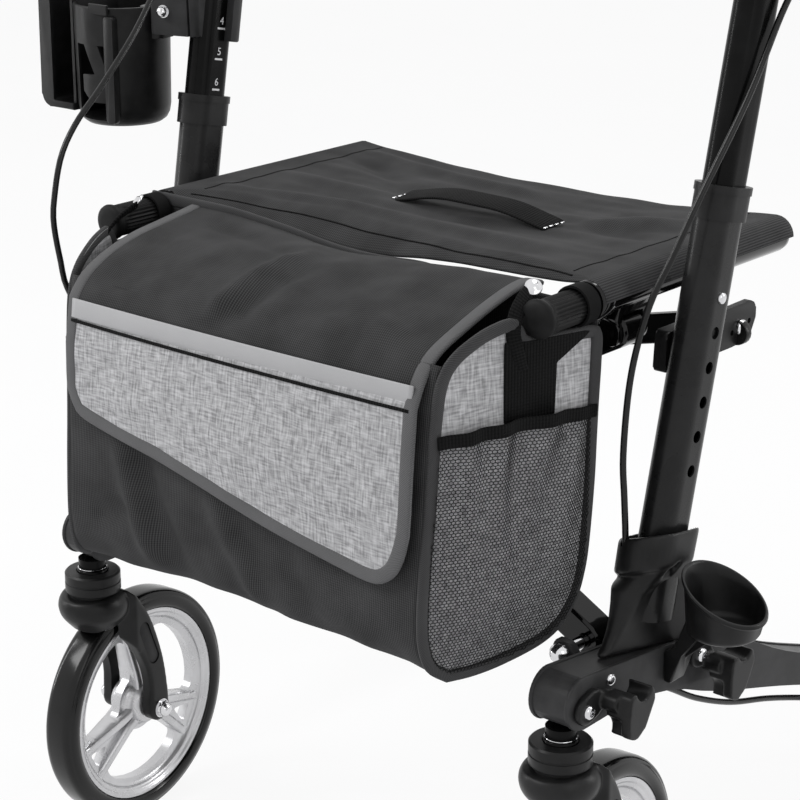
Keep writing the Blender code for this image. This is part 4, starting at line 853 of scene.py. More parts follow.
def make_beams():
    """The low beams: a body between two flanges, with ears for the pivot rod."""
    flanges = []
    for low in (BEAM_X - BEAM_HALF, BEAM_X + BEAM_HALF - FLANGE):
        flanges.append(prism(beam_outline(), low, low + FLANGE, bevel=0.0012, rounds=2))
    middle = prism(beam_outline(0.0012), BEAM_X - BEAM_HALF + 0.001, BEAM_X + BEAM_HALF - 0.001)
    ears = [lug(*ends) for ends in ((0.0405, 0.0470), (0.1235, 0.1300))]
    socket = rod(0.0063, 0.235, 0.2748, "Z", (BEAM_X, 0))
    channel = tube(smooth_points(cable_end(), 40), CHANNEL_RADIUS)
    mesh = combined(combined(flanges[0], join=[flanges[1], middle] + ears), cut=[socket, channel])
    both("side_beam_cast", mesh, "beam_paint", "side_frame", "side_beam", smooth=32)


def foot():
    """The plastic foot: an open rim round the tube and the cable, a waist and a flared, pointed base."""
    matrix = upright_matrix()
    heel_y, tilt_across, tilt_along = 0.0985, 0.345, 0.042

    def ring(along, length, width, middle=-0.0050, steps=14):
        loop = []
        for a, b in stadium(length, width, steps):
            loop.append(matrix @ Vector((a, middle + b, along + tilt_across * a + tilt_along * b)))
        return loop

    def keel(z, front, rear, half, nose, slope, steps=14):
        x = BEAM_X + 0.0010 + 0.5 * SPLAY * (z - 0.288)
        loop = arc((0, rear - half), half, 0, 180, steps) + arc((0, front + nose), nose, 180, 180, steps)
        return [Vector((x + a, b, z + slope * (b - heel_y))) for a, b in loop]

    base = beam_top(heel_y) + GAP
    loops = [
        keel(base, 0.0425, 0.1490, 0.0168, 0.0040, BEAM_SLOPE),
        keel(base + 0.0030, 0.0430, 0.1490, 0.0172, 0.0044, BEAM_SLOPE),
        keel(base + 0.0070, 0.0485, 0.1480, 0.0174, 0.0052, -0.105),
        keel(0.2955, 0.0545, 0.1455, 0.0176, 0.0066, -0.08),
        keel(0.3060, 0.0585, 0.1430, 0.0180, 0.0086, -0.04),
        keel(0.3170, 0.0615, 0.1410, 0.0184, 0.0110, 0.00),
        keel(0.3280, 0.0640, 0.1395, 0.0188, 0.0140, 0.02), ring(-0.1700, 0.0590, 0.0385, -0.0022),
        ring(-0.1675, 0.0628, 0.0420), ring(-0.1660, 0.0644, 0.0436), ring(-0.1440, 0.0652, 0.0444),
        ring(-0.1418, 0.0636, 0.0428),
    ]
    tube_way = moved(prism(stadium(0.0406, 0.0286, 12), LOWER_TUBE[0] - GAP, -0.10, "Z"), matrix)
    pocket = [ring(along, 0.0586, 0.0386, -0.0022) for along in (-0.160, -0.110)]
    channel = tube(smooth_points(cable_end(), 40), CHANNEL_RADIUS)
    recess = rounded(
        [(0.0905, 0.3430), (0.1040, 0.3480), (0.0960, 0.3160), (0.0830, 0.3000), (0.0800, 0.3160)], 0.004,
    )
    notch = moved(prism(recess, 0.0, 0.03), Matrix.Translation((0.2606, 0, 0)))
    shape = combined(loft(loops), cut=[loft(pocket), notch])
    return combined(moulded(shape, 0.0011, 9), cut=[tube_way, channel])


def make_uprights():
    """Fixed and sliding tubes, the collars between them, and the snap buttons."""
    matrix = upright_matrix()
    outer = prism(stadium(TUBE_LENGTH, TUBE_WIDTH, 20), *LOWER_TUBE, "Z", 0.0004, 1)
    inside = prism(
        stadium(TUBE_LENGTH - 0.003, TUBE_WIDTH - 0.003, 20), LOWER_TUBE[0] - 0.01, LOWER_TUBE[1] + 0.01,
        "Z",
    )
    places = [TOP_HOLE - HOLE_PITCH * i for i in range(HOLES)]
    holes = [rod(0.0045, 0.005, 0.020, "X", (0, place), 28) for place in places]
    lower = moved(combined(outer, cut=[inside] + holes), matrix)
    both("lower_upright_tube", lower, "frame_paint", "side_frame", "lower_upright")

    outer = prism(stadium(INNER_LENGTH, INNER_WIDTH, 20), *UPPER_TUBE, "Z", 0.0004, 1)
    inside = prism(stadium(INNER_LENGTH - 0.003, INNER_WIDTH - 0.003, 20), -0.01, UPPER_TUBE[1] + 0.01, "Z")
    hole = rod(0.0045, 0.005, 0.020, "X", (0, TOP_HOLE), 28)
    upper = moved(combined(outer, cut=[inside, hole]), matrix)
    both("upper_upright_tube", upper, "inner_tube", "handle", "upper_upright")

    sleeve = prism(stadium(TUBE_LENGTH + 0.0050, TUBE_WIDTH + 0.0050, 20), *COLLAR, "Z", 0.0010, 3)
    lip = prism(
        stadium(TUBE_LENGTH + 0.0068, TUBE_WIDTH + 0.0068, 20), COLLAR[1] - 0.0058, COLLAR[1], "Z", 0.0024,
        4,
    )
    ways = [
        prism(
            stadium(TUBE_LENGTH + 0.0006, TUBE_WIDTH + 0.0006, 20), COLLAR[0] - 0.01, LOWER_TUBE[1] + GAP,
            "Z",
        ),
        prism(
            stadium(INNER_LENGTH + 0.0006, INNER_WIDTH + 0.0006, 20), COLLAR[0] - 0.01, COLLAR[1] + 0.01,
            "Z",
        ),
    ]
    collar = moved(combined(sleeve, join=[lip], cut=ways), matrix)
    both("upright_collar_sleeve", collar, "black_plastic", "side_frame", "upright_collar")

    face, out = INNER_WIDTH / 2 - 0.0015, TUBE_WIDTH / 2 + 0.0025
    profile = [
        (0, face - 0.0024), (0.0062, face - 0.0024), (0.0062, face - GAP), (0.0042, face - GAP),
        (0.0042, out - 0.0016), (0.0038, out - 0.0008), (0.0028, out - 0.0003), (0.0012, out - 0.0001),
        (0, out),
    ]
    button = moved(turned(profile, "X", (0, 0, TOP_HOLE), 32), matrix)
    both("height_button_pin", button, "chrome", "height_button", "height_button")


def make_scale():
    """The height scale on the inner tubes' inner faces: ticks with plain numbers over them."""
    matrix = upright_matrix()
    first, tick_half, face = 0.1140, 0.0043, -INNER_WIDTH / 2 - 0.0001
    for side, sign in (("left", 1), ("right", -1)):
        marks = []
        for i in range(SCALE_NUMBERS + 1):
            height = first + HOLE_PITCH * i
            corners = oblong(-tick_half, tick_half, height, height + 0.0016)
            tick = moved(prism(corners, face, face + 0.0002), matrix)
            marks.append(on_side(tick, side))
            if i == SCALE_NUMBERS:
                break
            number = bpy.data.curves.new("number", "FONT")
            number.body = str(SCALE_NUMBERS - i)
            number.size = 0.0088
            number.extrude = 0.0001
            number.align_x = "CENTER"
            number.resolution_u = 4
            shape = finished(helper(number))
            lift = matrix @ Vector((face, 0, height + 0.0042))
            lift.x *= sign
            up = Vector((sign * matrix[0][2], matrix[1][2], matrix[2][2]))
            out = Vector((-sign, 0, 0))
            out = (out - up * out.dot(up)).normalized()
            turn = Matrix((up.cross(out), up, out)).transposed().to_4x4()
            marks.append(moved(shape, Matrix.Translation(lift) @ turn))
        piece(f"height_scale_{side}", gathered(marks), "scale_ink", f"handle_{side}")


def make_rails():
    """Gloss rails with their end rings, under-plates and ears."""
    for side, bar_y in (("left", 0.1065), ("right", 0.0805)):
        rear = 0.3135
        profile = [
            (0, 0.014), (0.009, 0.014), (0.009, RAIL_FRONT), (0.0142, RAIL_FRONT),
            (0.0148, RAIL_FRONT + 0.0010), (0.0148, RAIL_FRONT + 0.0140), (0.0142, RAIL_FRONT + 0.0150),
            (RAIL_RADIUS, RAIL_FRONT + 0.0150), (RAIL_RADIUS, rear - 0.010), (0.0118, rear - 0.0050),
            (0.0096, rear - 0.0015), (0.0060, rear), (0, rear),
        ]
        rail = turned(profile, "Y", (RAIL_X, 0, RAIL_Z), 56)
        start, top = bar_y - 0.0205, RAIL_Z - 0.0085
        outline = [
            (start + 0.006, top), (start, 0.518), (start + 0.004, 0.512), (start + 0.036, 0.512),
            (start + 0.052, top),
        ]
        under = prism(outline, RAIL_X - 0.008, RAIL_X + 0.008, "X", 0.0008, 2)
        corners = [
            (RAIL_X - 0.009, 0.5155), (RAIL_X - 0.009, 0.497), (RAIL_X + 0.009, 0.497),
            (RAIL_X + 0.009, 0.5155),
        ]
        ear = rounded(corners, 0.007)
        ears = []
        for low in (bar_y - 0.018, bar_y + 0.013):
            ears.append(prism(ear, low, low + 0.005, "Y", 0.0006, 1))
        notch = oblong(0.178, 0.238, 0.48, 0.5192)
        gap = prism(notch, bar_y - 0.013, bar_y + 0.013, "Y")
        pin = rod(0.004, bar_y - 0.020, bar_y + 0.020, "Y", (RAIL_X, 0.506))
        mesh = combined(combined(combined(rail, join=[under]), join=ears, cut=[gap]), join=[pin])
        shape = on_side(mesh, side)
        piece(
            f"seat_rail_{side}_tube", shape, "gloss_black_tube", f"seat_rail_{side}", [f"seat_rail_{side}"],
        )


def make_grips():
    """The ribbed grips on the rails' front ends, with their end discs."""
    ribs, steps = 26, 104
    loops = []
    disc = [
        (0.0002, 0.0030), (0.0070, 0.0031), (0.0112, 0.0038), (0.0134, 0.0052), (0.0140, 0.0070),
        (0.0136, 0.0090), (0.0122, 0.0102),
    ]
    sleeve = [
        (0.0121, 0.0104, 0), (0.0124, 0.0125, 0), (0.0124, 0.0140, 1),
    ] + [(0.0124, 0.0140 + 0.003 * k, 1) for k in range(1, 14)]
    sleeve += [
        (0.0124, 0.0545, 0), (0.0130, 0.0560, 0), (0.0131, 0.0600, 0), (0.0127, RAIL_FRONT - GAP, 0),
        (0.0093, RAIL_FRONT - GAP, 0), (0.0093, 0.0137, 0),
    ]
    for radius, y, ribbed in [(r, y, 0) for r, y in disc] + sleeve:
        loop = []
        for k in range(steps):
            angle = 2 * math.pi * k / steps
            swell = 0.00055 * (math.cos(ribs * angle) - 1) * ribbed
            reach = radius + swell
            loop.append((RAIL_X + reach * math.cos(angle), y, RAIL_Z + reach * math.sin(angle)))
        loops.append(loop)
    both("front_grip_sleeve", loft(loops), "grip_rubber", "seat_rail", "front_grip", smooth=60)


def screw(radius, out, axis, at):
    """A pan-head screw with a hexagon socket, its flat face at a point."""
    head = [
        (0, 0), (radius, 0), (radius, out * 0.0012), (radius * 0.86, out * 0.0024),
        (radius * 0.55, out * 0.0031), (0, out * 0.0031),
    ]
    hole = prism(hexagon(radius * 0.42), *sorted((out * 0.0012, out * 0.01)), axis)
    return moved(combined(turned(head, axis, (0, 0, 0), 32), cut=[hole]), Matrix.Translation(at))


# Brackets, cups, pegs and cables


def make_brackets():
    """The plates behind the uprights, each with its screw, its holes and the ear of the folding stay."""
    corners = [
        (0.1220, 0.4740), (0.2080, 0.4735), (0.2250, 0.4745), (0.2345, 0.4800), (0.2400, 0.4900),
        (0.2400, 0.5005), (0.2320, 0.5045), (0.1900, 0.5040), (0.1220, 0.5040),
    ]
    plate = prism(rounded(corners, 0.005), 0.2300, 0.2352, bevel=0.0012, rounds=2)
    spine = prism(
        rounded([(0.1220, 0.474), (0.1560, 0.474), (0.1600, 0.504), (0.1240, 0.504)], 0.003), 0.2240,
        0.2352, bevel=0.0015,
    )
    pivot = (0.214, 0.4827)
    ear = prism(bar_outline(pivot, (0.234, 0.4827), 0.0095), 0.2150, 0.2222, "Y", 0.0008, 2)
    holes = [rod(0.0021, 0.22, 0.24, "X", place, 20) for place in ((0.2080, 0.4845), (0.2310, 0.4890))]
    tie = prism(oblong(0.150, 0.170, 0.478, 0.500), 0.2340, 0.2372)
    shape = combined(plate, join=[spine, ear, tie], cut=holes)
    both("frame_bracket_plate", shape, "black_plastic", "side_frame", "frame_bracket", bevel=0.0004)
    both("frame_bracket_screw", screw(0.0062, 1, "X", (0.2354, 0.2195, 0.4865)), "chrome", "side_frame")
    pin = combined(
        rod(0.004, 0.2160, 0.2335, "Y", pivot), join=[screw(0.0068, 1, "Y", (pivot[0], 0.2333, pivot[1]))],
    )
    both("stay_pivot_pin", pin, "chrome", "side_frame")


def make_cane_cup():
    """The shallow cup for a cane's tip: its rim slants outward over a round bottom."""
    x, y, middle, slope = 0.301, 0.1085, 0.3285, 0.50

    def ring(radius, height, share):
        loop = []
        for i in range(56):
            angle = 2 * math.pi * i / 56
            rise = -slope * share * radius * math.cos(angle)
            loop.append((x + radius * math.cos(angle), y + radius * math.sin(angle), height + rise))
        return loop

    low = 0.2965
    loops = [
        ring(0.0180, low, 0), ring(0.0225, low + 0.0006, 0), ring(0.0252, low + 0.0026, 0.02),
        ring(0.0266, low + 0.0056, 0.08), ring(0.0290, middle - 0.0060, 0.85),
        ring(0.0294, middle - 0.0036, 0.97), ring(0.0304, middle - 0.0030, 1.0),
        ring(0.0311, middle - 0.0018, 1.0), ring(0.0311, middle - 0.0006, 1.0),
        ring(0.0304, middle + 0.0004, 1.0), ring(0.0292, middle + 0.0004, 1.0),
        ring(0.0284, middle - 0.0006, 1.0), ring(0.0276, middle - 0.0060, 0.85),
        ring(0.0248, low + 0.0080, 0.08), ring(0.0236, low + 0.0054, 0.02), ring(0.0215, low + 0.0040, 0),
        ring(0.0100, low + 0.0036, 0),
    ]
    cup = loft(loops)
    face = BEAM_X + BEAM_HALF + GAP
    line = [
        (face, 0.2500), (face, 0.2740), (0.2660, 0.2790), (0.2760, 0.3080), (0.2840, 0.3080),
        (0.3060, 0.2990), (0.3060, 0.2940), (0.2860, 0.2930), (0.2720, 0.2740), (0.2640, 0.2500),
    ]
    arm = prism(rounded(line, 0.003, 3), 0.1000, 0.1180, "Y", 0.0015, 2)
    web = prism(
        [(0.262, 0.262), (0.300, 0.297), (0.278, 0.297), (0.262, 0.280)], 0.1070, 0.1105, "Y", 0.0004, 1,
    )
    inside = [
        ring(0.0272, middle - 0.0060, 0.85), ring(0.0244, low + 0.0080, 0.08),
        ring(0.0225, low + 0.0050, 0.02), ring(0.0200, low + 0.0036, 0),
    ]
    top = ring(0.0276, middle + 0.0300, 1.0)
    shape = combined(cup, join=[combined(arm, join=[web], cut=[loft([top] + inside)])])
    piece("cane_cup_shell", shape, "black_plastic", "side_frame_left", ["cane_cup"], smooth=35)


def make_pegs():
    """The two pegs on the left beam's outer face: a plate, a stub and a cradle with a tail."""
    face = BEAM_X + BEAM_HALF + GAP
    for name, y, z, middle, tilt in (
        ("front_peg", -0.0005, 0.2646, (0.0290, 0.2640), -0.20),
        ("rear_peg", 0.1407, 0.2590, (0.1600, 0.2465), 0.10),
    ):
        b, c = middle
        plate = prism(
            bar_outline((y, z), (y + 0.010, z + 0.003), 0.0105), face, face + 0.0060, bevel=0.0015,
        )
        stub = prism(
            bar_outline((b - 0.010, c + 0.004), (b - 0.004, c + 0.002), 0.0068), face + 0.003, face + 0.020,
        )
        corners = [
            (b - 0.0120, c + 0.0120), (b + 0.0150, c + 0.0135), (b + 0.0180, c + 0.0020),
            (b + 0.0070, c - 0.0170), (b - 0.0040, c - 0.0235), (b - 0.0135, c - 0.0190),
            (b - 0.0140, c - 0.0040),
        ]
        cradle = prism(rounded(corners, 0.006), face + 0.010, face + 0.030)
        turn = Matrix.Translation((face + 0.034, b + 0.0035, c + 0.0150)) @ Matrix.Rotation(tilt, 4, "Y")
        hollow = moved(rod(0.0088, -0.030, 0.030, "X", (0, 0), 32), turn)
        scoop = rod(0.0120, face + 0.006, face + 0.022, "X", (b - 0.0190, c - 0.0165), 32)
        body = moulded(combined(plate, join=[stub, cradle], cut=[hollow, scoop]), 0.0009, 12)
        piece(f"{name}_body", body, "black_plastic", "side_frame_left", [name])
        piece(f"{name}_screw", screw(0.0052, 1, "X", (face + 0.0060, y, z)), "chrome", "side_frame_left")
    piece("beam_pin", screw(0.0045, 1, "X", (face - 0.0002, 0.0330, 0.2760)), "chrome", "side_frame_left")


def cup_piece(name, mesh, look="black_plastic", stands_for=(), smooth=32):
    """A piece of the cup holder, modelled on the left for the right."""
    piece(f"cup_holder_{name}", on_side(mesh, "right"), look, "cup_holder", stands_for, smooth=smooth)


def make_cup():
    """The cup, with its window and bracing bar."""
    x, y = 0.334, 0.144
    outer = [
        (0, 0.5780), (0.0265, 0.5780), (0.0318, 0.5790), (0.0355, 0.5818), (0.0378, 0.5862),
        (0.0390, 0.5930), (0.0404, 0.6740), (0.0404, 0.6775), (0.0396, 0.6785), (0, 0.6785),
    ]
    inner = [
        (0, 0.5818), (0.0260, 0.5818), (0.0305, 0.5828), (0.0336, 0.5853), (0.0355, 0.5890),
        (0.0366, 0.5945), (0.0380, 0.6810), (0, 0.6810),
    ]
    shell = combined(turned(outer, "Z", (x, y, 0), 80), cut=[turned(inner, "Z", (x, y, 0), 80)])
    facing = Matrix.Translation((x, y, 0)) @ Matrix.Rotation(math.radians(-2), 4, "Z")
    opening = moved(
        prism(rounded(oblong(-0.0150, 0.0165, 0.5840, 0.6470), 0.0012), -0.060, -0.024, "Y"), facing,
    )
    brink = moved(
        prism(rounded(oblong(-0.0258, -0.0155, 0.5830, 0.6720), 0.003), -0.0382, -0.032, "Y", 0.0012, 2),
        facing,
    )
    tab = moved(prism(oblong(-0.0220, -0.0010, 0.6730, 0.6815), -0.0402, -0.0375, "Y", 0.0006, 1), facing)
    bar = [
        (0.0086, 0.6490), (-0.0071, 0.6490), (-0.0142, 0.6290), (-0.0158, 0.6220), (-0.0158, 0.5990),
        (0.0010, 0.5990), (0.0110, 0.6075), (0.0110, 0.6215), (-0.0040, 0.6225),
    ]
    brace = combined(
        shell.copy(), shared=[moved(prism(rounded(bar, 0.001, 2), -0.060, -0.020, "Y"), facing)],
    )
    cup = combined(
        combined(shell, cut=[opening]),
        join=[moved(brace, facing @ Matrix.Translation((0, 0.0010, 0)) @ facing.inverted()), brink, tab],
    )
    cup_piece("cup", cup, stands_for=["cup_holder"])


def make_phone_slot():
    """The flat box beside the cup."""
    corner = arc((0.3930, 0.5970), 0.010, -90, 90, 8)
    box = prism(
        [(0.3640, 0.5870), *corner, (0.4030, 0.6930), (0.3640, 0.6930)], 0.1120, 0.1760, "Y", 0.0016, 3,
    )
    cavity = prism(rounded(oblong(0.3670, 0.4002, 0.5900, 0.7100), 0.006), 0.1150, 0.1730, "Y")
    entry = prism(rounded(oblong(0.3620, 0.3880, 0.5930, 0.7100), 0.002), 0.1000, 0.1160, "Y")
    bridge = prism(oblong(0.362, 0.376, 0.150, 0.165), 0.592, 0.660, "Z")
    slot_box = combined(combined(box, cut=[cavity, entry]), join=[bridge])
    cup_piece("slot", slot_box)


def make_clamp():
    """The clamp round the upright, its arm to the cup and its bolt."""
    frame_up = upright_matrix()
    clamp = prism(stadium(0.0520, 0.0400, 14), 0.155, 0.193, "Z", 0.0018, 3)
    bore = moved(prism(stadium(INNER_LENGTH + 0.0006, INNER_WIDTH + 0.0006, 14), 0.12, 0.22, "Z"), frame_up)
    block = prism(
        rounded(
            [(0.2470, 0.1460), (0.2900, 0.1340), (0.2980, 0.1500), (0.2880, 0.1760), (0.2520, 0.1830)],
            0.005,
        ),
        0.6570, 0.6910, "Z", 0.0012, 2,
    )
    seam = moved(prism(oblong(-0.001, 0.001, -0.04, 0.04), 0.150, 0.200, "Z"), frame_up)
    mouth = moved(prism(oblong(-0.03, 0.03, -0.06, 0.0043), 0.150, 0.200, "Z"), frame_up)
    ring = combined(moved(clamp, frame_up), cut=[mouth])
    clamp = combined(ring, join=[block], cut=[bore, seam])
    cup_piece("clamp", clamp, "clamp_grey")
    arm = prism(
        rounded([(0.2860, 0.1420), (0.3060, 0.1360), (0.3120, 0.1560), (0.2900, 0.1640)], 0.004), 0.6520,
        0.6780, "Z", 0.002, 2,
    )
    cup_piece("arm", arm)
    bolt = moved(
        acorn((0, 0, 0), "Y", -1, 0.0042),
        Matrix.Translation((0.2775, 0.1378, 0.6765)) @ Matrix.Rotation(math.radians(-19), 4, "Z"),
    )
    cup_piece("bolt", bolt, "chrome", smooth=40)


def cable_end():
    """The stretch inside the foot and the beam and on to the rear brake, the same on both sides."""
    return [
        (0.2365, 0.0738, 0.395), (0.2370, 0.0760, 0.366), (0.2358, 0.0778, 0.345),
        (0.2342, 0.0790, 0.325), (0.2330, 0.0788, 0.306), (0.2330, 0.0790, 0.288),
        (0.2345, 0.0860, 0.268), (0.2370, 0.1010, 0.250), (0.2395, 0.1200, 0.236),
        (0.2400, 0.1420, 0.223), (0.2400, 0.1750, 0.204), (0.2400, 0.2230, 0.183),
        (0.2400, 0.2780, 0.166), (0.2420, 0.3250, 0.150), (0.2560, 0.3500, 0.1440),
        (0.2745, 0.3690, 0.1470), (0.2760, 0.3874, 0.1480),
    ]


def left_route():
    """Down the outside of the upright, round its front and into the foot."""
    start = [
        (0.2825, 0.2350, 0.8997), (0.2825, 0.2350, 0.884), (0.2830, 0.2310, 0.845), (0.2815, 0.2200, 0.790),
    ]
    sweep = [
        (0.2760, 0.2030, 0.745), (0.2740, 0.1870, 0.7205), (0.2715, 0.1555, 0.6705),
        (0.2600, 0.1170, 0.604),
    ]
    down = [
        (0.2520, 0.0985, 0.565), (0.2445, 0.0870, 0.537), (0.2390, 0.0795, 0.504), (0.2368, 0.0740, 0.471),
    ]
    return start + sweep + down + [(0.2360, 0.0715, 0.426)]


def right_route():
    """A wider bow forward, in front of the cup, and back behind the bag's corner to the foot."""
    start = [
        (0.2825, 0.2350, 0.8997), (0.2825, 0.2350, 0.884), (0.2820, 0.2200, 0.845), (0.2800, 0.1930, 0.800),
    ]
    bow = [
        (0.2720, 0.1620, 0.760), (0.2600, 0.1300, 0.725), (0.2530, 0.1005, 0.693), (0.2470, 0.0720, 0.666),
    ]
    bow += [
        (0.2450, 0.0340, 0.631), (0.2450, 0.0080, 0.608), (0.2450, -0.0090, 0.584),
        (0.2450, -0.0180, 0.552),
    ]
    down = [
        (0.2450, -0.0195, 0.532), (0.2450, -0.0145, 0.502), (0.2450, -0.0080, 0.477),
        (0.2440, 0.0180, 0.4330),
    ]
    return start + bow + down + [(0.2405, 0.0450, 0.4205), (0.2378, 0.0655, 0.4130)]


def make_cables():
    """The brake cables and their ferrules at the housings."""
    for side, sign, route in (("left", 1, left_route()), ("right", -1, right_route())):
        points = smooth_points(route + cable_end(), 150)
        mesh = on_side(tube(points, CABLE_RADIUS, 16), side)
        name = f"brake_cable_{side}"
        cable = piece(f"{name}_sheath", mesh, "cable_sheath", None, [name])
        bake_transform(cable)
    ferrule = [
        (0, 0.8998), (0.0046, 0.8998), (0.0046, 0.893), (0.0040, 0.892), (0.0040, 0.886), (0.0031, 0.882),
        (0, 0.882),
    ]
    shape = moved(turned(ferrule, "Z", (0, 0, 0), 24), Matrix.Translation((0.2825, 0.2350, 0)))
    both("cable_ferrule", shape, "black_plastic", "handle")


# Seat and bag

# The sling's grid: its rows to the front fold and to the hem, the stitched row, and its columns
TOP_ROWS = 62
SLING_ROWS = 80
HEM_ROW = 72
COLUMNS = 112
WRAP_ANGLES = (2, 14, 26, 38, 50, 63, 76, 90)

# Tables of places across the cloth or along it, with a distance along Y, a height or both
SLING_REAR = 0.3085
SLING_FOLD = [
    (-0.208, 0.0680), (-0.195, 0.0850), (-0.170, 0.0980), (-0.140, 0.1060), (-0.069, 0.1200),
    (-0.023, 0.1180), (0.030, 0.1080), (0.077, 0.0980), (0.120, 0.0920), (0.170, 0.0840), (0.195, 0.0740),
    (0.208, 0.0670),
]
SLING_HEM = [
    (-0.208, 0.0645, 0.5490), (-0.197, 0.0680, 0.5433), (-0.160, 0.0750, 0.5402),
    (-0.120, 0.0820, 0.5370), (-0.098, 0.0850, 0.5347), (-0.056, 0.0850, 0.5298),
    (-0.025, 0.0850, 0.5276), (0.016, 0.0850, 0.5298), (0.040, 0.0840, 0.5335), (0.082, 0.0800, 0.5375),
    (0.122, 0.0760, 0.5396), (0.161, 0.0720, 0.5418), (0.191, 0.0670, 0.5450), (0.208, 0.0642, 0.5490),
]
FLAP_SAG = [
    (-0.1685, 0.0030), (-0.145, 0.0032), (-0.120, 0.0024), (-0.095, 0.0000), (-0.067, -0.0026),
    (-0.030, -0.0080), (-0.005, -0.0096), (0.020, -0.0096), (0.047, -0.0082), (0.075, -0.0050),
    (0.102, -0.0028), (0.141, -0.0018), (0.1685, -0.0015),
]
BACK_DROP = [(-0.1685, 0.0005), (0.060, 0.0005), (0.085, 0.0060), (0.1685, 0.0110)]
SLING_WRAP = 0.0143
SIDE_SLOPE = 0.3134
SIDE_AT_FRONT = 0.1745
FLAP_EDGE = 0.1685
FLAP_TAPE = 0.1660
FLAP_FOLD = 0.499
FLAP_ROWS = 44
FLAP_COLUMNS = 104
BELLY = 0.006

# Folds of the cloth: height, both ends on the sheet, and width
SLING_FOLDS = [
    (0.0034, (-0.195, 0.108), (-0.060, 0.135), 0.008),
    (0.0034, (-0.070, 0.134), (0.130, 0.122), 0.009),
    (-0.0040, (-0.170, 0.262), (-0.060, 0.205), 0.012),
    (0.0036, (-0.190, 0.285), (0.020, 0.268), 0.009),
    (0.0040, (0.085, 0.197), (0.185, 0.262), 0.012),
    (-0.0030, (0.060, 0.215), (0.180, 0.190), 0.010),
    (0.0032, (-0.185, 0.175), (-0.060, 0.180), 0.010),
    (-0.0030, (-0.120, 0.150), (0.080, 0.158), 0.009),
]
BODY_FOLDS = [
    (-0.0060, (-0.125, 0.400), (-0.085, 0.305), 0.010),
    (0.0050, (-0.105, 0.395), (-0.060, 0.310), 0.011),
    (-0.0055, (-0.030, 0.385), (0.020, 0.300), 0.010),
    (0.0040, (0.040, 0.360), (0.075, 0.300), 0.012),
    (0.0045, (-0.150, 0.330), (-0.110, 0.345), 0.009),
]
FLAP_FOLDS = [
    (-0.0050, (-0.010, 0.045), (-0.035, 0.160), 0.008),
    (0.0050, (0.012, 0.060), (-0.012, 0.150), 0.010),
    (0.0035, (-0.155, 0.110), (-0.060, 0.150), 0.011),
    (-0.0035, (-0.160, 0.135), (-0.100, 0.150), 0.008),
    (0.0040, (-0.130, 0.020), (-0.020, 0.050), 0.012),
    (0.0035, (0.050, 0.130), (0.150, 0.150), 0.010),
    (-0.0030, (0.060, 0.080), (0.150, 0.125), 0.010),
]


def soft(name, mesh, look, body, stands_for=(), thick=0.0, smooth=180, fade=True):
    """A piece of cloth, with a wall where a thickness is given, and a mesh of its own unless fade is off."""
    made = piece(name, mesh, look, body, stands_for, smooth=smooth)
    if thick:
        wall = made.modifiers.new("thickness", "SOLIDIFY")
        wall.thickness = thick
        wall.offset = 0.0
    if fade:
        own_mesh(made)
    return made


def soft_pair(name, mesh, look, **more):
    """The same piece of the bag's cloth on both sides."""
    return [soft(f"{name}_{side}", on_side(mesh, side), look, "seat_rail_left", **more) for side in SIDES]


def noisy(x, y, seed, scale_x, scale_y):
    """Smooth noise between -1 and 1, stretched along either direction."""
    return noise.noise(Vector((x * scale_x + seed, y * scale_y - seed * 2.3, seed * 0.7)))


def creases(table, x, y):
    """The sum of a table's folds at a place, each with its height, two ends and width."""
    return sum(height * crease(x, y, *fold) for height, *fold in table)


def crease(x, y, start, end, width):
    """How much of a straight fold is at a place: 1 on its line, fading to the sides and the ends."""
    start, end, here = Vector(start), Vector(end), Vector((x, y))
    run = end - start
    share = (here - start).dot(run) / run.length_squared
    fade = max(0.0, min(1.0, 3 * share + 0.4, 3.4 - 3 * share))
    away = (here - start - run * share).length
    return math.exp(-((away / width) ** 2)) * fade * fade * (3 - 2 * fade)


def between(table, at):
    """A value read from a table of (place, value) pairs in rising order."""
    if at <= table[0][0]:
        return table[0][1]
    for (low, first), (high, last) in zip(table, table[1:]):
        if at <= high:
            return first + (last - first) * (at - low) / (high - low)
    return table[-1][1]


def displaced(rows, amount):
    """Grid rows moved along their own normals by an amount for each row and column."""
    result = []
    for i, row in enumerate(rows):
        line = []
        for j, point in enumerate(row):
            down = rows[min(i + 1, len(rows) - 1)][j] - rows[max(i - 1, 0)][j]
            across = row[min(j + 1, len(row) - 1)] - row[max(j - 1, 0)]
            line.append(point + across.cross(down).normalized() * amount(i, j))
        result.append(line)
    return result


def sling_top(x, y):
    """Height of the seat's cloth between the rails: it sags, and pulls into folds from its corners."""
    share = abs(x) / RAIL_X
    depth = 0.0035 + 0.0060 * (y - 0.10) / 0.19
    height = RAIL_Z + SLING_WRAP - depth * (1 - share**2)
    calm = min(1.0, (1 - share) * 5)
    folds = creases(SLING_FOLDS, x, y)
    folds += 0.0026 * noisy(x, y, 3.1, 9, 34) + 0.0014 * noisy(x, y, 8.4, 24, 60)
    return height + folds * calm


def evened(table, x, reach=0.012):
    """A table's value at a place, evened out over a short stretch."""
    return sum(between(table, x + reach * k / 3) for k in range(-3, 4)) / 7


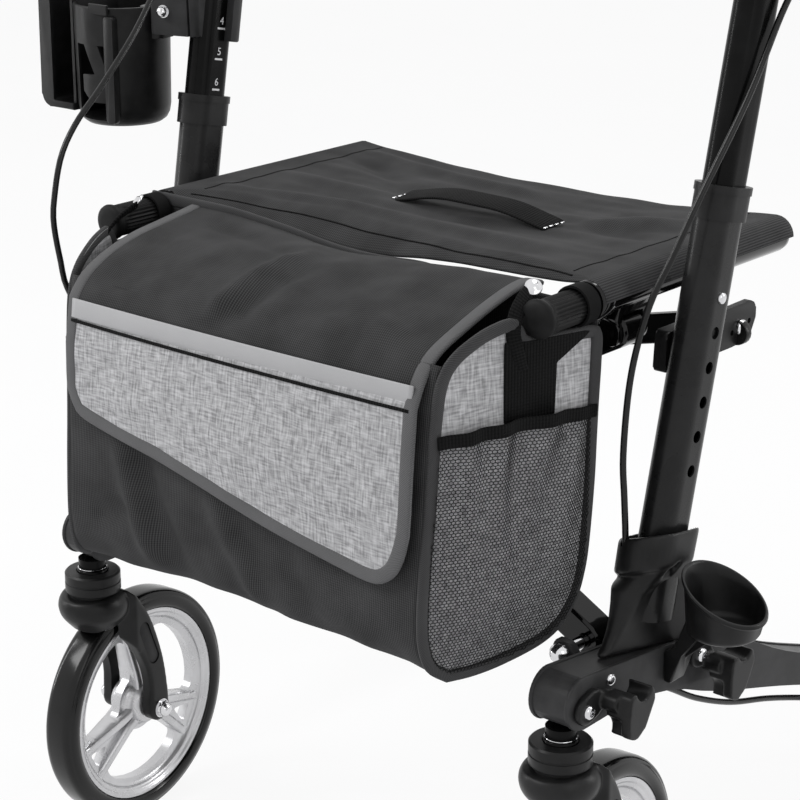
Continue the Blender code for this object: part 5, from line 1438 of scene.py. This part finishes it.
def sling_rows():
    """Rows of the seat's cloth from its rear edge forward to where its front hem hangs, with flat places."""
    wraps = [math.radians(angle) for angle in WRAP_ANGLES]
    columns = [(RAIL_X + SLING_WRAP * math.cos(a), RAIL_Z + SLING_WRAP * math.sin(a)) for a in wraps]
    reach = math.radians(88) * SLING_WRAP + RAIL_X
    places, uv = [], []
    for k, (x, z) in enumerate(columns):
        places.append((-x, z))
        uv.append(-reach + k * (reach - RAIL_X) / len(columns))
    for k in range(1, COLUMNS):
        x = -RAIL_X + 2 * RAIL_X * k / COLUMNS
        places.append((x, None))
        uv.append(x)
    for k, (x, z) in enumerate(columns[::-1]):
        places.append((x, z))
        uv.append(RAIL_X + k * (reach - RAIL_X) / len(columns))
    hem_along = [(at, y) for at, y, z in SLING_HEM]
    hem_high = [(at, z) for at, y, z in SLING_HEM]
    rows, flat = [], []
    for i in range(SLING_ROWS + 1):
        points, line = [], []
        for (x, z), across in zip(places, uv):
            held = max(-RAIL_X, min(RAIL_X, x))
            fold = evened(SLING_FOLD, held)
            if i <= TOP_ROWS:
                y = SLING_REAR + (fold - SLING_REAR) * i / TOP_ROWS
                y += 0.0015 * noisy(x, 0, 5.0, 18, 1) * (1 - i / TOP_ROWS)
                height = sling_top(x, y) if z is None else z
            else:
                down = (i - TOP_ROWS) / (SLING_ROWS - TOP_ROWS)
                y = fold + (evened(hem_along, held) - fold) * down
                start = sling_top(x, fold)
                calm = min(1.0, (RAIL_X - abs(held)) * 20)
                ripple = 0.0014 * noisy(x, down, 1.7, 26, 2) * math.sin(math.pi * down) * calm
                hung = start + (evened(hem_high, held) - start) * down**1.7 + ripple
                height = hung if z is None else z
            points.append(Vector((x, y, height)))
            line.append((across, SLING_REAR - y))
        rows.append(points)
        flat.append(line)
    return rows, flat


def seam_tape(name, points, look, body, width=0.0016, thick=0.0009, normals=None):
    """A thin raised line of stitching along points."""
    normals = normals or [(0, 0, 1)] * len(points)
    return soft(name, tape(points, normals, width, thick), look, body)


def make_seat():
    """The sling, its seams, and the pull strap with its bar tacks."""
    rows, flat = sling_rows()
    sling = soft(
        "seat_sling_cloth", cloth(rows, flat), "black_fabric", "seat_rail_left", ["seat_sling"],
        thick=0.0022,
    )
    for name, column in (("left", COLUMNS + 1), ("right", len(WRAP_ANGLES) + 5)):
        line = [rows[i][column] + Vector((0, 0, 0.0011)) for i in range(1, TOP_ROWS + 2)]
        seam_tape(f"seat_seam_{name}", line, "black_webbing", "seat_rail_left")
    hem = [rows[HEM_ROW][j] + Vector((0, -0.0006, 0.0010)) for j in range(12, len(rows[0]) - 12)]
    seam_tape(
            "seat_seam_front", hem, "black_webbing", "seat_rail_left", normals=[(0, -0.5, 0.87)] * len(hem),
        )
    low, high, y = -0.059, 0.090, 0.183
    line = []
    for i in range(41):
        share = i / 40
        x = low + (high - low) * share
        arch = 0.0105 * math.sin(math.pi * share) ** 0.8
        line.append((x, y + 0.002 * math.sin(2 * math.pi * share), sling_top(x, y) + 0.0022 + arch))
    soft(
            "seat_pull_strap", tape(line, [(0, -0.12, 1)] * 41, 0.026, 0.0020), "black_webbing",
            "seat_rail_left",
        )
    for end, x in (("right", low), ("left", high)):
        tacks = []
        for k in range(4):
            place = Vector((x, y - 0.0105 + 0.0070 * k, sling_top(x, y) + 0.0030))
            tacks.append(
                moved(rod(0.0008, -0.0022, 0.0022, "Y", (0, 0), 10, 0.0004), Matrix.Translation(place))
            )
        soft(f"seat_strap_tack_{end}", gathered(tacks), "chrome", "seat_rail_left", smooth=60)


def side_x(y):
    """Distance of the bag's side panel from the middle, at a distance along Y."""
    return SIDE_AT_FRONT + (y + 0.078) * SIDE_SLOPE


def side_outline(count=150):
    """The side panel's outline, from the lower front corner up, back and round."""
    route = [
        (-0.0562, 0.2844), (-0.0700, 0.2950), (-0.0765, 0.3120), (-0.0780, 0.3340), (-0.0760, 0.3700),
        (-0.0728, 0.4064), (-0.0705, 0.4400), (-0.0683, 0.4726), (-0.0638, 0.5007), (-0.0535, 0.5170),
        (-0.0339, 0.5290), (-0.0174, 0.5344), (-0.0060, 0.5350), (-0.0005, 0.5290), (0.0060, 0.5205),
        (0.0300, 0.5200), (0.0560, 0.5203), (0.0630, 0.5150), (0.0632, 0.4950), (0.0620, 0.4662),
        (0.0612, 0.4400), (0.0603, 0.4076), (0.0573, 0.3632), (0.0543, 0.3415), (0.0485, 0.3221),
        (0.0374, 0.3049), (0.0197, 0.2940), (-0.0107, 0.2865), (-0.0350, 0.2838), (-0.0562, 0.2844),
    ]
    points = smooth_points([(y, z, 0) for y, z in route], count + 1)[:-1]
    return [(point.x, point.y) for point in points]


def inward(outline, amount):
    """An outline drawn in by an amount."""
    points = []
    for i, (y, z) in enumerate(outline):
        before, after = Vector(outline[i - 1]), Vector(outline[(i + 1) % len(outline)])
        run = (after - before).normalized()
        points.append((y + run.y * amount, z - run.x * amount))
    return points


def side_swell(y, z):
    """How far the side panel bulges out at a place, with its soft dents."""
    inside = max(0.0, 1 - abs((y + 0.008) / 0.07) ** 2.5) * max(0.0, 1 - abs((z - 0.40) / 0.125) ** 2.5)
    return inside * (0.0045 + 0.0022 * noisy(y, z, 2.2, 22, 16))


def side_panel():
    """The side's cloth, as rings that shrink towards its middle."""
    outline = side_outline()
    middle = Vector((-0.005, 0.405))
    bm = bmesh.new()
    rings = []
    for k in range(15):
        share = 1 - k / 15
        ring = []
        for y, z in outline:
            at = middle + (Vector((y, z)) - middle) * share
            ring.append(bm.verts.new((side_x(at.x) + side_swell(at.x, at.y) - 0.001, at.x, at.y)))
        rings.append(ring)
    centre = bm.verts.new((side_x(middle.x) + side_swell(middle.x, middle.y) - 0.001, middle.x, middle.y))
    for low, high in zip(rings, rings[1:]):
        for i in range(len(low)):
            j = (i + 1) % len(low)
            bm.faces.new((low[i], low[j], high[j], high[i]))
    for i in range(len(rings[-1])):
        bm.faces.new((rings[-1][i], rings[-1][(i + 1) % len(outline)], centre))
    side_uvs(bm)
    return mesh_of(bm)


def side_uvs(bm):
    """Gives each corner its place along Y and Z as its UV."""
    uv = bm.loops.layers.uv.new("UVMap")
    for face in bm.faces:
        for corner in face.loops:
            corner[uv].uv = (corner.vert.co.y, corner.vert.co.z)


def inside_outline(outline, y, z):
    """Whether a place lies inside an outline."""
    hit = False
    for (ya, za), (yb, zb) in zip(outline, outline[1:] + outline[:1]):
        if (za > z) != (zb > z) and y < ya + (yb - ya) * (z - za) / (zb - za):
            hit = not hit
    return hit


def net_swell(y, z):
    """How far the net stands off the side panel: slack in the middle, and in pleats under its band."""
    across = max(0.0, 1 - abs((y + 0.008) / 0.064) ** 3)
    height = max(0.0, min(1.0, (z - 0.288) / 0.05, 1.0))
    pleats = math.exp(-((0.462 - z) / 0.055)) * (0.0030 * math.sin(y * 190 + 6 * noisy(y, z, 4.0, 12, 9)))
    return across * height * (0.0050 + 0.0020 * noisy(y, z, 6.0, 20, 10) + pleats)


def net():
    """The side pocket's honeycomb net."""
    limit = inward(side_outline(90), 0.0050)
    width = 0.0027
    step = width * 0.866
    bm = bmesh.new()
    row = 0
    z = 0.286
    while z < 0.461:
        y = -0.080 + (width / 2 if row % 2 else 0)
        while y < 0.066:
            if inside_outline(limit, y, z):
                corners = []
                for k in range(6):
                    angle = math.pi * (k + 0.5) / 3
                    at_y = y + width / math.sqrt(3) * math.cos(angle)
                    at_z = z + width / math.sqrt(3) * math.sin(angle) * 0.94
                    out = side_x(at_y) + side_swell(at_y, at_z) + 0.0016 + net_swell(at_y, at_z)
                    corners.append(bm.verts.new((out, at_y, at_z)))
                bm.faces.new(corners)
            y += width
        z += step * 0.94
        row += 1
    side_uvs(bm)
    bmesh.ops.remove_doubles(bm, verts=bm.verts, dist=0.0003)
    return mesh_of(bm)


def on_plane(outline, out):
    """Places on the side panel's plane, a little proud of it."""
    return [Vector((side_x(y) + out, y, z)) for y, z in outline]


def side_tape(name, points, width, thick, look, closed=False, normal=None):
    """A band on both side panels."""
    facing = normal or Vector((1, -SIDE_SLOPE, 0)).normalized()
    mesh = tape(points, [facing] * len(points), width, thick, closed)
    return soft_pair(name, mesh, look)


def pocket_line():
    """The line of the elastic band over the net's upper edge."""
    line = []
    for i in range(31):
        y = -0.0665 + 0.1265 * i / 30
        rise = 0.0025 * math.sin(math.pi * i / 30)
        out = side_x(y) + side_swell(y, 0.461) + 0.0022 + net_swell(y, 0.4585) * 0.8
        line.append(Vector((out, y, 0.4600 + rise)))
    return line


def side_webbing():
    """The webbing sewn to the side's cloth, from the pocket up to the grip."""
    corners = [
        (-0.0145, 0.4630), (0.0255, 0.4630), (0.0255, 0.5010), (0.0560, 0.5195), (0.0030, 0.5195),
        (-0.0145, 0.5215),
    ]
    shape = prism(rounded(corners, 0.002, 2), 0.0012, 0.0034, "X", 0.0005, 1)
    for vertex in shape.vertices:
        vertex.co.x += side_x(vertex.co.y)
    layer = shape.uv_layers.new(name="UVMap")
    for loop in shape.loops:
        co = shape.vertices[loop.vertex_index].co
        layer.data[loop.index].uv = (co.y, co.z)
    return shape


def clip_rivet():
    """The rivet at the upper end of the clip's strap."""
    profile = [
        (0, 0.0030), (0.0028, 0.0026), (0.0042, 0.0012), (0.0060, 0.0010), (0.0064, 0.0002),
        (0.0060, -0.0008), (0, -0.0008),
    ]
    aim = Vector((0.55, -0.55, 0.62)).to_track_quat("Z", "Y").to_matrix().to_4x4()
    return moved(turned(profile, "Z", (0, 0, 0), 32), Matrix.Translation((0.1925, 0.0215, 0.5515)) @ aim)


def make_strap_loops():
    """The webbing loops that hold the bag on the rails."""
    section = oblong(RAIL_RADIUS + 0.0008, RAIL_RADIUS + 0.0025, 0.0455, 0.0585)
    ring = turned(section, "Y", (RAIL_X, 0, RAIL_Z), 40)
    for side in SIDES:
        loop = soft(
            f"bag_strap_loop_{side}", on_side(ring, side), "black_webbing", f"seat_rail_{side}", smooth=50,
            fade=False,
        )


def make_side_panels():
    """The bag's sides: cloth, net pocket under an elastic band, webbing, straps and binding."""
    edge = on_plane(inward(side_outline(), 0.0030), 0.0004)
    tongue = [
        (0.2080, 0.048, 0.4995), (0.2120, 0.050, 0.5120), (0.2128, 0.0515, 0.5185),
        (0.2095, 0.0520, 0.5212),
    ]
    strap = [
        (0.2010, -0.0015, 0.4990), (0.2005, -0.0065, 0.5150), (0.1985, -0.0080, 0.5270),
        (0.1958, -0.0015, 0.5380), (0.1930, 0.0100, 0.5455), (0.1915, 0.0190, 0.5490),
    ]
    strap_faces = Vector((0.75, -0.6, 0.35)).normalized()
    sewn_on = [
        side_tape("bag_side_binding", edge, 0.0095, 0.0046, "side_binding", True),
        side_tape("bag_pocket_elastic", pocket_line(), 0.0098, 0.0022, "black_webbing"),
        soft_pair("bag_side_webbing", side_webbing(), "black_webbing", smooth=50),
        side_tape("bag_strap_tongue", smooth_points(tongue, 14), 0.013, 0.0018, "black_webbing"),
    ]
    make_strap_loops()
    sewn_on += [
        side_tape(
            "bag_clip_strap", smooth_points(strap, 26), 0.0105, 0.0026, "black_webbing", normal=strap_faces,
        ),
        soft_pair("bag_clip_rivet", clip_rivet(), "chrome", smooth=50),
    ]
    weave, panel = net(), side_panel()
    for k, side in enumerate(SIDES):
        thread = soft(f"bag_pocket_net_{side}", on_side(weave, side), "net_thread", "seat_rail_left")
        wire = thread.modifiers.new("threads", "WIREFRAME")
        wire.thickness = 0.0007
        wire.use_even_offset = False
        wire.use_boundary = True
        sheet = soft(
            f"bag_side_cloth_{side}", on_side(panel, side), "grey_fabric", "seat_rail_left", thick=0.0014,
        )


def body_line():
    """The bag's line from under the flap down its front, along its bottom and up its back."""
    route = [
        (-0.0600, 0.5120), (-0.0638, 0.5007), (-0.0683, 0.4726), (-0.0728, 0.4064), (-0.0775, 0.3450),
        (-0.0770, 0.3180), (-0.0720, 0.3010), (-0.0600, 0.2895), (-0.0400, 0.2860), (-0.0107, 0.2875),
        (0.0180, 0.2950), (0.0360, 0.3050), (0.0475, 0.3225), (0.0535, 0.3420), (0.0570, 0.3640),
        (0.0600, 0.4076), (0.0618, 0.4662), (0.0625, 0.5200), (0.0620, 0.5420),
    ]
    return smooth_points([(0, y, z) for y, z in route], 120)


def body_folds(u, s, y, z):
    """The front panel's creases and slack, by the place across and along it."""
    edge = min(1.0, (1 - abs(u)) * 8)
    low = math.exp(-(((s - 0.17) / 0.09) ** 2))
    x = u * 0.175
    folds = creases(BODY_FOLDS, x, z)
    folds += low * (0.0045 * noisy(x, s, 4.4, 17, 11) + 0.0016 * noisy(x, s, 9.1, 42, 22))
    bulge = BELLY * (1 - u * u) * (0.4 + 0.6 * low)
    on_front = 1.0 if y < 0 else 0.3
    return edge * (folds * on_front + bulge * on_front)


def make_bag_body():
    """Front, bottom and back in one strip between the side panels."""
    line = body_line()
    count = 88
    rows, flat, lengths = [], [], [0.0]
    for a, b in zip(line, line[1:]):
        lengths.append(lengths[-1] + (b - a).length)
    for point, s in zip(line, lengths):
        half = side_x(point.y) - 0.0012
        rows.append([Vector((half * (2 * j / count - 1), point.y, point.z)) for j in range(count + 1)])
        flat.append([(half * (2 * j / count - 1), s) for j in range(count + 1)])
    rows = displaced(rows, lambda i, j: body_folds(2 * j / count - 1, lengths[i], line[i].y, line[i].z))
    for row, point in zip(rows, line):
        share = max(0.0, (point.z - 0.500) / 0.042) if point.y > 0 else 0.0
        for place in row:
            place.z += share * (evened(FLAP_SAG, place.x) - evened(BACK_DROP, place.x))
    body = soft(
        "bag_body_cloth", cloth(rows, flat), "black_fabric", "seat_rail_left", ["bag"], thick=0.0016,
    )
    rear_edge = rows[-1]
    soft(
        "bag_back_binding", tape(rear_edge, [(0, 1, 0)] * len(rear_edge), 0.010, 0.0036), "side_binding",
        "seat_rail_left",
    )


# The flap's top from its rear edge to the front, its front by height, and its lower edge
FLAP_TOPS = {
    -1: [
        (0.058, 0.541), (0.025, 0.5385), (-0.007, 0.534), (-0.034, 0.526), (-0.055, 0.516),
        (-0.0655, 0.5065), (-0.071, FLAP_FOLD),
    ],
    1: [
        (0.0620, 0.5435), (0.044, 0.5455), (0.011, 0.538), (-0.021, 0.528), (-0.048, 0.518),
        (-0.0615, 0.5085), (-0.0685, FLAP_FOLD),
    ],
}
FLAP_FRONTS = {
    -1: [
        (0.350, -0.0720), (0.380, -0.0735), (0.413, -0.0760), (0.434, -0.0775), (0.465, -0.0765),
        (FLAP_FOLD, -0.0710),
    ],
    1: [
        (0.350, -0.0835), (0.381, -0.0835), (0.401, -0.0830), (0.436, -0.0805), (0.484, -0.0760),
        (FLAP_FOLD, -0.0685),
    ],
}
FLAP_LOW = [
    (-0.1685, 0.4400), (-0.1660, 0.4290), (-0.1620, 0.4195), (-0.1540, 0.4115), (-0.1150, 0.4045),
    (-0.0730, 0.3985), (-0.0320, 0.3900), (0.0080, 0.3805), (0.0470, 0.3720), (0.1040, 0.3625),
    (0.1380, 0.3585), (0.1530, 0.3650), (0.1610, 0.3780), (0.1655, 0.3950), (0.1685, 0.4100),
]


def flap_front(x, z):
    """A place on the flap's front, at a distance across and a height."""
    share = (x / FLAP_EDGE + 1) / 2
    y = between(FLAP_FRONTS[-1], z) * (1 - share) + between(FLAP_FRONTS[1], z) * share
    swell = 0.0065 * max(0.0, 1 - (x / FLAP_EDGE) ** 2) * math.exp(-(((z - 0.43) / 0.07) ** 2))
    return Vector((x, y - swell, z))


def flap_top(x, share_down, curves):
    """A place on the flap's top, from its rear edge to where it turns down."""
    share = (x / FLAP_EDGE + 1) / 2
    at = share_down * (len(curves[-1]) - 1)
    k = min(int(at), len(curves[-1]) - 2)
    sides = [curves[side][k].lerp(curves[side][k + 1], at - k) for side in (-1, 1)]
    point = sides[0].lerp(sides[1], share)
    arch = 0.004 * math.sin(math.pi * share) * math.sin(math.pi * share_down)
    sag = evened(FLAP_SAG, x) * max(0.0, 1 - share_down * 2.6) ** 2
    return Vector((x, point.x, point.y + arch + sag))


def flap_folds(x, s, edge):
    """The flap's creases: s is the distance down it from its rear edge."""
    folds = creases(FLAP_FOLDS, x, s)
    folds += 0.0032 * noisy(x, s, 1.3, 20, 24) + 0.0011 * noisy(x, s, 7.7, 55, 60)
    return folds * edge


def flap_grid(curves):
    """Rows of the flap's folded cloth, its columns, and each column's lengths from the rear edge."""
    columns = [-FLAP_EDGE * math.cos(math.pi * j / FLAP_COLUMNS) for j in range(FLAP_COLUMNS + 1)]
    rows = [[flap_top(x, i / FLAP_ROWS, curves) for x in columns] for i in range(FLAP_ROWS + 1)]
    drops = [between(FLAP_LOW, x) - FLAP_FOLD for x in columns]
    for i in range(1, FLAP_ROWS + 1):
        rows.append([flap_front(x, FLAP_FOLD + drop * i / FLAP_ROWS) for x, drop in zip(columns, drops)])
    flat = []
    for j in range(len(columns)):
        reach = [0.0]
        for i in range(1, len(rows)):
            reach.append(reach[-1] + (rows[i][j] - rows[i - 1][j]).length)
        flat.append(reach)

    def amount(i, j):
        from_side = (FLAP_EDGE - abs(columns[j])) / 0.035
        from_end = min(flat[j][i], flat[j][-1] - flat[j][i]) / 0.030
        height = rows[i][j].z
        quiet = max(0.0, min(1.0, max(height - 0.5020, 0.4770 - height) / 0.014))
        return flap_folds(columns[j], flat[j][i], max(0.0, min(1.0, from_side, from_end))) * quiet

    return displaced(rows, amount), columns, flat


def flap_side(side, curves):
    """The binding's line down one side of the flap, and the way it faces."""
    line, facing = [], []
    for i in range(FLAP_ROWS + 1):
        places = [
            flap_top(side * FLAP_TAPE, k / FLAP_ROWS, curves)
            for k in (max(i - 1, 0), i, min(i + 1, FLAP_ROWS))
        ]
        run = places[2] - places[0]
        line.append(places[1])
        facing.append(Vector((0, run.z, -run.y)).normalized())
    bend = between(FLAP_LOW, side * FLAP_TAPE)
    for i in range(1, 18):
        line.append(flap_front(side * FLAP_TAPE, FLAP_FOLD + (bend + 0.012 - FLAP_FOLD) * i / 17))
        facing.append(Vector((0, -1, 0)))
    return line, facing


def flap_edge(curves):
    """The binding's line down the flap's right side, along its lower edge and up its left side."""
    right, right_facing = flap_side(-1, curves)
    left, left_facing = flap_side(1, curves)
    low = smooth_points([(x, 0, z) for x, z in FLAP_LOW[1:-1]], 90)
    line = right + [flap_front(point.x, point.z + 0.001) for point in low] + left[::-1]
    return line, right_facing + [Vector((0, -1, 0))] * len(low) + left_facing[::-1]


def make_flap():
    """The lid: black cloth over its top, a reflective strip, mottled cloth below, and its binding."""
    curves = {}
    for side in (-1, 1):
        curves[side] = [
            Vector((p.x, p.y))
            for p in smooth_points([(y, z, 0) for y, z in FLAP_TOPS[side]], 40)
        ]
    rows, columns, flat = flap_grid(curves)
    uvs = [[(columns[j], flat[j][i]) for j in range(len(columns))] for i in range(len(rows))]
    split = FLAP_ROWS + 2
    upper = soft(
        "bag_flap_top", cloth(rows[:split], uvs[:split]), "black_fabric", "bag_flap", ["bag_flap"],
        thick=0.0016,
    )
    lower = soft(
        "bag_flap_front", cloth(rows[split - 1 :], uvs[split - 1 :]), "grey_fabric", "bag_flap",
        thick=0.0016,
    )
    for name, height, width, look in (
        ("bag_flap_reflector", 0.4915, 0.0150, "reflective_band"),
        ("bag_flap_piping", 0.4823, 0.0026, "black_webbing"),
    ):
        places = [nearest_front(rows, columns, FLAP_TAPE * (i / 40 - 1), height) for i in range(81)]
        line = [place + Vector((0, -0.0016, 0)) for place in places]
        soft(name, tape(line, [(0, -1, 0.12)] * len(line), width, 0.0016), look, "bag_flap")
    soft("bag_flap_binding", tape(*flap_edge(curves), 0.0112, 0.0040), "grey_binding", "bag_flap")


def nearest_front(rows, columns, x, z):
    """The place on the flap's folded cloth at a distance across and a height."""
    j = max(k for k, column in enumerate(columns) if column <= x)
    j = min(j, len(columns) - 2)
    share = (x - columns[j]) / (columns[j + 1] - columns[j])
    line = [row[j].lerp(row[j + 1], share) for row in rows[FLAP_ROWS - 4 :]]
    for a, b in zip(line, line[1:]):
        if b.z <= z <= a.z:
            return a.lerp(b, (a.z - z) / max(a.z - b.z, 1e-6))
    return line[-1]


# Camera and light


def make_floor():
    """A pale floor."""
    bm = bmesh.new()
    bmesh.ops.create_grid(bm, x_segments=8, y_segments=8, size=9.0)
    floor = bpy.data.objects.new("floor", mesh_of(bm))
    bpy.context.scene.collection.objects.link(floor)
    floor.location.z = -0.0002
    surface = bpy.data.materials.new("floor_paper")
    surface.use_nodes = True
    tree = surface.node_tree
    paper = tree.nodes["Principled BSDF"]
    paper.inputs["Roughness"].default_value = 0.9
    paper.inputs["Specular IOR Level"].default_value = 0.1
    place = add(tree, "ShaderNodeTexCoord").outputs["Object"]
    cloud = add(tree, "ShaderNodeTexNoise", {"Vector": place, "Scale": 3.0, "Detail": 4.0})
    tree.links.new(ramp(tree, cloud.outputs["Fac"], grey(0.86), grey(0.90)), paper.inputs["Base Color"])
    glow = add(tree, "ShaderNodeEmission", {"Color": (1, 1, 1, 1), "Strength": 1.0})
    share = add(tree, "ShaderNodeMath", {0: seen_rays(tree), 1: 0.90}, operation="MULTIPLY")
    mix = add(
        tree, "ShaderNodeMixShader", {"Fac": share.outputs[0], 1: paper.outputs[0], 2: glow.outputs[0]},
    )
    tree.links.new(mix.outputs[0], tree.nodes["Material Output"].inputs["Surface"])
    floor.data.materials.append(surface)


def make_light():
    """A white background and soft lamps."""
    world = bpy.data.worlds.new("studio")
    bpy.context.scene.world = world
    world.use_nodes = True
    tree = world.node_tree
    backdrop = tree.nodes["Background"]
    backdrop.inputs["Color"].default_value = (1, 1, 1, 1)
    backdrop.inputs["Strength"].default_value = 0.55
    white = add(tree, "ShaderNodeBackground", {"Color": (1, 1, 1, 1), "Strength": 1.0})
    mix = add(
        tree, "ShaderNodeMixShader", {"Fac": seen_rays(tree), 1: backdrop.outputs[0], 2: white.outputs[0]},
    )
    tree.links.new(mix.outputs[0], tree.nodes["World Output"].inputs["Surface"])

    lamp("key", (-1.5, -2.0, 2.4), 1.1, 34)
    lamp("top", (0.2, 1.0, 2.9), 0.9, 18)
    lamp("fill", (2.3, -1.0, 1.5), 1.2, 5)
    lamp("edge", (1.9, 1.6, 1.3), 0.25, 16, 1.7)
    lamp("strip", (-2.0, -1.1, 1.0), 0.12, 8, 1.6)


def make_camera():
    """The camera, where the photograph was taken from."""
    scene = bpy.context.scene
    camera = bpy.data.cameras.new("camera")
    camera.lens = CAMERA_LENS
    camera.sensor_width = 36
    eye = bpy.data.objects.new("camera", camera)
    scene.collection.objects.link(eye)
    eye.location = CAMERA_AT
    eye.rotation_euler = (math.pi / 2 - CAMERA_DOWN, 0, CAMERA_TURN)
    scene.camera = eye
    scene.view_settings.view_transform = "Standard"


def seen_rays(tree):
    """One for what the camera, a mirror or glass sees, and nothing for light that falls on things."""
    path = add(tree, "ShaderNodeLightPath")
    pair = {0: path.outputs["Is Camera Ray"], 1: path.outputs["Is Glossy Ray"]}
    first = add(tree, "ShaderNodeMath", pair, operation="MAXIMUM")
    both_rays = {0: first.outputs[0], 1: path.outputs["Is Transmission Ray"]}
    return add(tree, "ShaderNodeMath", both_rays, operation="MAXIMUM").outputs[0]


def lamp(name, at, size, power, height=0.0):
    """A square or upright lamp that faces the seat."""
    light = bpy.data.lights.new(name, "AREA")
    light.shape = "RECTANGLE"
    light.size = size
    light.size_y = height or size
    light.energy = power
    made = bpy.data.objects.new(name, light)
    bpy.context.scene.collection.objects.link(made)
    made.location = at
    made.rotation_euler = (Vector((0, 0, 0.4)) - Vector(at)).to_track_quat("-Z", "Y").to_euler()


def keep_nodes():
    """The frame's own shapes that stay, with their finish."""
    for side in SIDES:
        for node, look, cell in (
            ("fold_link", "beam_top_paint", 0), ("pivot_rod", "chrome", 0),
            ("rear_bracket", "black_plastic", 0.0011),
            ("rear_axle", "chrome", 0), ("brake_arm", "satin_lever", 0),
            ("handle_housing", "black_plastic", 0.0010),
            ("handle_grip", "grip_rubber", 0), ("brake_lever", "satin_lever", 0.0009),
        ):
            refine(f"{node}_{side}", look, cell=cell)
    for node, look in (
        ("cross_bar_a", "gloss_black_tube"), ("cross_bar_b", "gloss_black_tube"),
        ("cross_pivot_bolt", "chrome"),
    ):
        refine(node, look)


def main():
    """Builds every piece, with the frame's own shapes that stay, the floor, the lamps and the camera."""
    make_materials()
    make_floor()
    make_light()
    make_camera()
    keep_nodes()
    make_wheels()
    make_casters()
    make_beams()
    both("foot_bracket_shell", foot(), "black_plastic", "side_frame", "foot_bracket")
    make_brackets()
    make_cane_cup()
    make_pegs()
    make_cup()
    make_phone_slot()
    make_clamp()
    make_uprights()
    make_scale()
    make_rails()
    make_grips()
    make_cables()
    make_seat()
    make_side_panels()
    make_bag_body()
    make_flap()


main()
